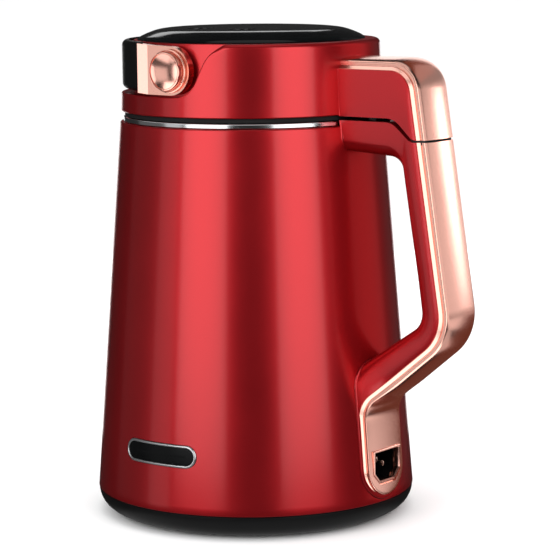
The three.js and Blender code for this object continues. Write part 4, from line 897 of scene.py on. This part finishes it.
class MAKER_OT_sleeve(bpy.types.Operator):
    """Head sleeve with the scooped pocket round the bail, and the seal under it"""
    bl_idname = "maker.sleeve"
    bl_label = "Head sleeve"

    def execute(self, context):
        edge = spline(POCKET_EDGE)
        low_x, high_x = edge[0][0], edge[-1][0]
        turns = [math.tau * k / ROUND_STEPS for k in range(ROUND_STEPS)]
        turns = [t for t in turns if not low_x < sleeve(280) * math.cos(t) < high_x]
        for x, z in edge:
            turn = math.acos(x / sleeve(z))
            turns += [turn, math.tau - turn]
        rings = []
        for turn in sorted(turns):
            x = HEAD_BOTTOM_RADIUS * math.cos(turn)
            if x > high_x:
                lip, slope = HEAD_TOP, 0.0
            else:
                lip, slope = pocket_edge(edge, math.cos(turn))
            rings.append([(r * math.cos(turn), r * math.sin(turn), z) for r, z in sleeve_section(lip, slope)])
        head = loft("head_skin", rings + rings[:1], ends=False)
        for side in (-1, 1):
            bore = [(0, 40), (4.3, 40), (4.3, 120), (0, 120)]
            cut(head, lathe("bore", bore, ROD_STEPS, on_pivot(side)))
            seat = [(0, POCKET_FLOOR), (9.8, POCKET_FLOOR), (9.8, 120), (0, 120)]
            cut(head, lathe("seat", seat, SMALL_STEPS, on_pivot(side)))
        dress(head, red_lacquer, "head", "red_lacquer", "head_sleeve")
        seal = filleted([(71.4, 249.8, 0.5), (79.3, 249.8, 0.3), (79.3, 252.6, 0.3), (71.4, 252.6, 0.5)], 4)
        dress(lathe("seal_lip", seal), rubber, "head", "rubber_black", "seal_ring")
        return {"FINISHED"}


class MAKER_OT_cap(bpy.types.Operator):
    """Gloss top cap with its two press keys"""
    bl_idname = "maker.cap"
    bl_label = "Top cap and keys"

    def execute(self, context):
        outline = spline(CAP_EDGE, 6)
        outline += [(0, CAP_TOP - 2.4), (43.5, CAP_TOP - 3.2), (66.8, HEAD_TOP + 0.3),
                    (66.8, HEAD_TOP - 5), (69.2, HEAD_TOP - 5), (69.2, HEAD_TOP + 0.2)]
        cap = lathe("top_cap", outline)
        for name in ("key_select", "key_start"):
            spot = on_axis(name)
            top = ends_of(name)[1]
            radius = size("key_radius")
            hole = [(0, 280), (radius + 0.2, 280), (radius + 0.2, 320), (0, 320)]
            cut(cap, lathe("hole", hole, SMALL_STEPS, spot))
            base = top - 3.0
            button = filleted([(0, top, 0), (radius, top, 0.25), (radius, base, 0), (0, base, 0)], 5)
            dress(lathe(name + "_button", button, SMALL_STEPS, spot), gloss_black, name, "satin_black", name)
        dress(cap, gloss_black, "head", "gloss_black", "head_cap")
        return {"FINISHED"}


class MAKER_OT_bail(bpy.types.Operator):
    """Carry bail: two gold arms with round eyes and the black grip band"""
    bl_idname = "maker.bail"
    bl_label = "Carry bail"

    def execute(self, context):
        crease, reach, thick = -17.0, -30.0, 5.0
        grip_inner, grip_outer = 76.0, 80.4
        end_face = math.sqrt(grip_outer ** 2 - reach ** 2)
        slope = (EYE_FACE - end_face) / (crease - reach)
        for side, name in ((-1, "front"), (1, "back")):
            spots = [(reach, 0.8, 0.4), (crease, 0.45, 0.2), (0.0, 0.0, 0.0)]
            spots = [(x, EYE_RADIUS + up, EYE_RADIUS - down) for x, up, down in spots]
            spots += [(x, z, z) for x, z in arc(0, 0, EYE_RADIUS, 88, 0, 44)]
            rings = []
            for x, high, low in spots:
                face = EYE_FACE - slope * max(0.0, crease - x)
                rings.append([(x, side * (face - back), PIVOT_HEIGHT + z)
                              for back, z in ((0, high), (0, -low), (thick, -low), (thick, high))])
            arm = loft(f"bail_arm_{name}_plate", rings)
            arm = bevelled(tidy_mesh(arm), size("bail_bevel"), 3, 35)
            hub = lathe("hub", [(4.5, POCKET_FLOOR + 0.3), (9, POCKET_FLOOR + 0.3), (9, EYE_FACE - 3),
                                (4.5, EYE_FACE - 3)], SMALL_STEPS, on_pivot(side))
            joined(arm, hub)
            dress(arm, rose_gold, "bail", "rose_gold", f"bail_arm_{name}", angle=20)
        low, high = -13.7, 16.5
        section = filleted([(grip_inner, low, 0.6), (grip_outer, low, 3.6), (grip_outer, high, 3.6),
                            (grip_inner, high, 0.6)], 8)
        start = math.degrees(math.acos(-(reach - 0.3) / grip_outer))
        rings = []
        for k in range(97):
            turn = math.radians(180 - start + 2 * start * k / 96)
            rings.append([(r * math.cos(turn), r * math.sin(turn), PIVOT_HEIGHT + z) for r, z in section])
        grip = loft("bail_grip_band", rings)
        dress(grip, satin_black, "bail", "satin_black", "bail_grip", angle=35)
        return {"FINISHED"}


class MAKER_OT_pivots(bpy.types.Operator):
    """Turned pivot caps with their collars, left bare"""
    bl_idname = "maker.pivots"
    bl_label = "Pivot caps"

    def execute(self, context):
        face = EYE_FACE + 0.3
        outline = filleted([
            (0, face, 0), (12.5, face, 0), (13.1, face + 0.6, 0.3), (13.1, face + 1.5, 0.5),
            (12.3, face + 1.8, 0.2), (11.9, face + 1.0, 0), (11.7, face + 1.0, 0), (11.5, face + 5.1, 0.8),
            (10.9, face + 5.4, 0), (10.8, face + 4.7, 0), (10.5, face + 4.7, 0)], 5)
        dome = 21.0
        centre = face + 7.9 - dome
        outline += arc(0, centre, dome, 90 - math.degrees(math.asin(10.4 / dome)), 90, 12)
        for side, name in ((-1, "front"), (1, "back")):
            cap = lathe(f"pivot_cap_{name}_turned", outline, 96, on_pivot(side))
            dress(cap, rose_gold, "head", "rose_gold", f"pivot_cap_{name}", angle=32)
        return {"FINISHED"}


class MAKER_OT_badge(bpy.types.Operator):
    """Bare badge: bright rim round a black face"""
    bl_idname = "maker.badge"
    bl_label = "Badge"

    def execute(self, context):
        bead = [(0, -0.6), (0, 0.25), (0.2, 0.65), (0.6, 0.85), (1.0, 0.88), (1.4, 0.75), (1.6, 0.4),
                (1.65, -0.6)]
        plate = [(1.7, -0.6), (1.7, 0.1), (1.95, 0.3), (2.6, 0.34), (3.4, 0.36), (4.4, 0.38), (5.6, 0.39),
                 (size("badge_half_height") - 0.02, 0.4)]
        bead, plate = [[[over_front(x, z, height) for x, z in badge_outline(inset)] for inset, height in rows]
                       for rows in (bead, plate)]
        rim = loft("badge_rim_bead", bead + bead[:1], ends=False)
        dress(rim, brushed_steel, "cup", "steel", "badge_rim", angle=60)
        dress(loft("badge_plate", plate), film_black, "cup", "gloss_black", "badge_face")
        return {"FINISHED"}


class MAKER_OT_wet_side(bpy.types.Operator):
    """Steel cover under the head with its probe, electrode and shaft end"""
    bl_idname = "maker.wet_side"
    bl_label = "Wet side of the head"

    def execute(self, context):
        cover = filleted([
            (71, 252.7, 0.2), (71, 251.4, 0.3), (62.6, 251.4, 1.2), (62, 205.1, 10), (11, 205.1, 1.5),
            (10, 199.1, 1.0), (4.5, 199.1, 0), (4.5, 200.1, 0), (9, 200.1, 0), (10, 206.1, 0), (61, 206.1, 9),
            (61.4, 252.7, 0)], 6)
        dress(lathe("wet_cover", cover), brushed_steel, "head", "steel", "lower_cover", angle=35)
        for name, radius in (("temperature_probe", 3.0), ("foam_electrode", 2.2)):
            tip, top = ends_of(name)
            rod = filleted([(0, tip, 0), (radius, tip, radius * 0.98), (radius, top - 2.4, 0),
                            (radius + 2, top - 2.4, 0), (radius + 2, top, 0), (0, top, 0)], 8)
            dress(lathe(name + "_rod", rod, ROD_STEPS, on_axis(name)), polished_steel, "head", "steel", name)
        tip, top = ends_of("motor_shaft")
        shaft = filleted([(0, tip, 0), (3, tip, 0.6), (3, 84.8, 0), (4, 84.8, 0.3), (4, top, 0),
                          (0, top, 0)], 4)
        dress(lathe("shaft_turned", shaft, ROD_STEPS), polished_steel, "rotor", "steel", "motor_shaft")
        wear(polished_steel, "blade", "blade_nut")
        return {"FINISHED"}


class MAKER_OT_inner_works(bpy.types.Operator):
    """Finishes of the parts inside the head and the base"""
    bl_idname = "maker.inner_works"
    bl_label = "Inner works"

    def execute(self, context):
        wear(satin_black, "head_chassis", "coupler_plug", "coupler_socket", "motor_fan")
        wear(rubber, "shaft_seal")
        wear(cast_aluminium, "heater_plate", "lower_bearing_bracket", "upper_bearing_bracket")
        wear(zinc_steel, "heater_tube", "lower_bearing", "upper_bearing", "pivot_pin_front", "pivot_pin_back")
        wear(nylon, "thermostat")
        wear(laminate, "motor_stator", "rotor_core")
        wear(copper, "field_coil_front", "field_coil_back", "commutator")
        wear(carbon, "brush_right", "brush_left")
        wear(circuit_board, "control_board", "power_board")
        return {"FINISHED"}


# Soft panels round the object, 1.2 m from the cup's axis: (name, what they light, direction, width in
# degrees, bottom and top in metres, brightness). 0 degrees is +X and -90 the badge side. The plated trim
# has panels of its own, as a photographer lights plating apart from paint, and the body some that the
# black pieces don't show.
PANEL_DISTANCE = 1.2
PLATED = ["band_lower", "band_upper", "bail_arm_front_plate", "bail_arm_back_plate", "pivot_cap_front_turned",
          "pivot_cap_back_turned"]
BLACKS = ["top_cap", "key_select_button", "key_start_button", "base_ring", "bail_grip_band", "seal_lip",
          "badge_plate", "split_step"]
PANELS = [
    ("left", "painted", -92.5, 38, -0.06, 1.2, 2.2),
    ("left_edge", "painted", -124.5, 18, -0.2, 1.2, 0.68),
    ("left_far", "painted", -152.0, 36, -0.2, 1.2, 0.1),
    ("right", "painted", -16.5, 37, -0.06, 1.2, 2.2),
    ("right_wide", "body", 49.5, 36, -0.2, 1.2, 0.6),
    ("right_far", "painted", 82.0, 29, -0.2, 1.2, 0.06),
    ("cap_line", "painted", 131.0, 24, 0.66, 0.87, 1.2),
    ("back", "painted", 127.5, 40, -0.2, 0.27, 1.6),
    ("trim_hot", "plated", 54.0, 9, 0.23, 0.4, 5.0),
    ("trim_warm", "plated", 54.0, 10, 0.15, 0.23, 2.2),
    ("trim_right", "plated", 52.5, 80, 0.06, 0.42, 0.95),
    ("trim_dim", "plated", 52.5, 60, -0.06, 0.06, 0.4),
    ("trim_foot", "plated", 28.5, 47, -0.4, -0.06, 1.0),
    ("amber_low", "plated", 93.0, 79, -1.4, 0.06, 0.13),
    ("amber_high", "plated", 70.0, 80, 0.9, 2.4, 0.16),
    ("trim_fade", "plated", 56.0, 70, 0.42, 0.58, 0.6),
    ("trim_high", "plated", 56.0, 70, 0.58, 1.6, 0.33),
    ("trim_side", "plated", -15.0, 56, -0.2, 0.6, 1.0),
    ("trim_front", "plated", -63.5, 40, -0.4, 0.7, 2.5),
    ("trim_left", "plated", -127.5, 50, -0.3, 0.45, 0.95),
    ("trim_canopy", "plated", -135.0, 70, 0.8, 1.9, 1.5),
    ("trim_brow", "plated", -66.0, 62, 0.9, 1.9, 1.3),
    ("trim_end", "plated", -176.0, 40, -0.2, 0.4, 1.8),
    ("trim_back", "plated", 122.5, 60, 0.05, 0.9, 1.4),
]
# Light thrown back by the plating and by the paint is not white
PANEL_TINTS = {"amber_low": (1.0, 0.2, 0.06), "amber_high": (1.0, 0.2, 0.06), "right_wide": (1.0, 0.3, 0.3)}
# Level panels: (name, what they light, shape, width and place from the cup's foot in metres, brightness).
# Those under the floor face up.
LEVEL_PANELS = [
    ("top_painted", "painted", "DISK", 1.4, 0.0, 0.0, 1.9, 0.3),
    ("top_body", "body", "DISK", 1.4, 0.0, 0.0, 1.9, 1.3),
    ("top_plated", "plated", "DISK", 1.4, 0.0, 0.0, 1.9, 0.9),
    ("top_liner", "liner", "DISK", 7.0, 0.0, 0.0, 1.9, 0.6),
    ("below_trim", "plated", "RECTANGLE", 1.6, -0.1, -0.7, -0.7, 2.6),
    ("below_grip", "plated", "RECTANGLE", 1.4, 1.1, 0.5, -0.9, 0.7),
    ("below_body", "body", "RECTANGLE", 2.6, 0.0, 0.0, -0.8, 0.25),
]
# Brightness of the surroundings: as the camera sees them, above and below the horizon, and in reflections
SKY_SEEN, SKY_ABOVE, SKY_BELOW, SKY_REFLECTED = 1.2, 1.2, 0.12, 0.03
# The camera: place and aim in mm from the cup's axis, roll in degrees, sensor and lens in mm, and how far
# it sees in metres
CAMERA_PLACE, CAMERA_AIM, CAMERA_ROLL = (913.14, -1190.03, 366.5), (13.084, 10.039, 144.091), -0.538
SENSOR_WIDTH, LENS, CLIP_END = 36.0, 154.26, 40


def light_group(who):
    """The collection that a panel lights: the plated trim, the liner, all but the trim, or all but the
    trim and the black pieces."""
    group = bpy.data.collections.get("lit_" + who)
    if group:
        return group
    group = bpy.data.collections.new("lit_" + who)
    for name in {"liner": ["steel_liner"], "body": PLATED + BLACKS}.get(who, PLATED):
        group.objects.link(bpy.data.objects[name])
    if who in ("painted", "body"):
        for entry in group.collection_objects:
            entry.light_linking.link_state = "EXCLUDE"
    return group


def soft_panel(name, who, shape, wide, tall, bright):
    """A panel of an even brightness, out of the camera's sight."""
    lamp = bpy.data.lights.new(name, "AREA")
    lamp.shape, lamp.size, lamp.size_y = shape, wide, tall
    area = wide * tall * (1 if shape == "RECTANGLE" else math.pi / 4)
    lamp.energy = bright * math.pi * area
    box = bpy.data.objects.new(name, lamp)
    bpy.context.scene.collection.objects.link(box)
    box.visible_camera = False
    box.light_linking.receiver_collection = light_group(who)
    return box


class MAKER_OT_studio(bpy.types.Operator):
    """Pale floor, soft boxes, pale surroundings and the camera"""
    bl_idname = "maker.studio"
    bl_label = "Studio"

    def execute(self, context):
        scene = context.scene
        scene.view_settings.view_transform = "Standard"
        floor = lathe("studio_floor", [(0, -0.2), (1200, -0.2), (16000, -0.2), (16000, -5), (0, -5)], 96)
        tidy_mesh(floor)
        paper = finish("Matt paper", tint("floor"), 0.0, 0.9, 3.0, spread=0.05, shade=0.003)
        floor.data.materials.append(paper)
        floor.visible_glossy = False
        floor.visible_diffuse = False
        centre = Vector(upright(0, 0, 0))
        for name, who, turn, degrees, low, high, bright in PANELS:
            wide, tall = 2 * PANEL_DISTANCE * math.tan(math.radians(degrees / 2)), high - low
            box = soft_panel(name, who, "RECTANGLE", wide, tall, bright)
            box.data.color = PANEL_TINTS.get(name, (1.0, 1.0, 1.0))
            way = Vector((math.cos(math.radians(turn)), math.sin(math.radians(turn)), 0))
            box.location = centre + way * PANEL_DISTANCE + Vector((0, 0, (low + high) / 2))
            box.rotation_euler = (-way).to_track_quat("-Z", "Y").to_euler()
        for name, who, shape, wide, x, y, z, bright in LEVEL_PANELS:
            box = soft_panel(name, who, shape, wide, wide, bright)
            box.location = centre + Vector((x, y, z))
            box.rotation_euler = (math.pi if z < 0 else 0.0, 0, 0)
        world = bpy.data.worlds.new("Pale studio")
        scene.world = world
        world.use_nodes = True
        world.cycles.sampling_method = "NONE"
        tree = world.node_tree
        rays = add_node(tree, "ShaderNodeLightPath")
        place = add_node(tree, "ShaderNodeTexCoord")
        parts = add_node(tree, "ShaderNodeSeparateXYZ", {0: place.outputs["Generated"]})
        rise = add_node(tree, "ShaderNodeMapRange", {"Value": parts.outputs["Z"]},
                        values={"From Min": -0.1, "From Max": 0.1, "To Min": SKY_BELOW, "To Max": SKY_ABOVE})
        direct, glossy = rays.outputs["Is Camera Ray"], rays.outputs["Is Glossy Ray"]
        seen = add_node(tree, "ShaderNodeMix", {"Factor": direct, "A": rise.outputs[0]},
                        data_type="FLOAT", values={"B": SKY_SEEN})
        light = add_node(tree, "ShaderNodeMix", {"Factor": glossy, "A": seen.outputs[0]},
                         data_type="FLOAT", values={"B": SKY_REFLECTED})
        tree.links.new(light.outputs[0], tree.nodes["Background"].inputs["Strength"])
        tree.nodes["Background"].inputs["Color"].default_value = (1.0, 1.0, 1.0, 1.0)

        camera = bpy.data.objects.new("camera", bpy.data.cameras.new("camera"))
        scene.collection.objects.link(camera)
        camera.data.sensor_width = SENSOR_WIDTH
        camera.data.lens = LENS
        camera.location = upright(*CAMERA_PLACE)
        aim = Vector(upright(*CAMERA_AIM)) - camera.location
        roll = Matrix.Rotation(math.radians(CAMERA_ROLL), 3, "Z")
        camera.rotation_euler = (aim.to_track_quat("-Z", "Y").to_matrix() @ roll).to_euler()
        camera.data.clip_end = CLIP_END
        scene.camera = camera
        return {"FINISHED"}


class MAKER_PT_panel(bpy.types.Panel):
    """Lists the pieces in the sidebar"""
    bl_label = TAB
    bl_space_type = "VIEW_3D"
    bl_region_type = "UI"
    bl_category = TAB

    def draw(self, context):
        layout = self.layout
        for group in (context.scene.maker_sizes, context.scene.maker_colours):
            box = layout.box()
            for name in group.__annotations__:
                box.prop(group, name)
        for operator in OPERATORS:
            layout.operator(operator.bl_idname)


OPERATORS = [
    MAKER_OT_shell, MAKER_OT_base, MAKER_OT_liner, MAKER_OT_lower_handle, MAKER_OT_upper_handle,
    MAKER_OT_sleeve, MAKER_OT_cap, MAKER_OT_bail, MAKER_OT_pivots, MAKER_OT_badge, MAKER_OT_wet_side,
    MAKER_OT_inner_works, MAKER_OT_studio,
]
CLASSES = [MakerSizes, MakerColours, *OPERATORS, MAKER_PT_panel]


def register():
    for one in CLASSES:
        bpy.utils.register_class(one)
    bpy.types.Scene.maker_sizes = bpy.props.PointerProperty(type=MakerSizes)
    bpy.types.Scene.maker_colours = bpy.props.PointerProperty(type=MakerColours)


def unregister():
    del bpy.types.Scene.maker_colours
    del bpy.types.Scene.maker_sizes
    for one in reversed(CLASSES):
        bpy.utils.unregister_class(one)


def main():
    register()
    for operator in OPERATORS:
        group, name = operator.bl_idname.split(".")
        getattr(getattr(bpy.ops, group), name)()


if __name__ == "__main__":
    main()
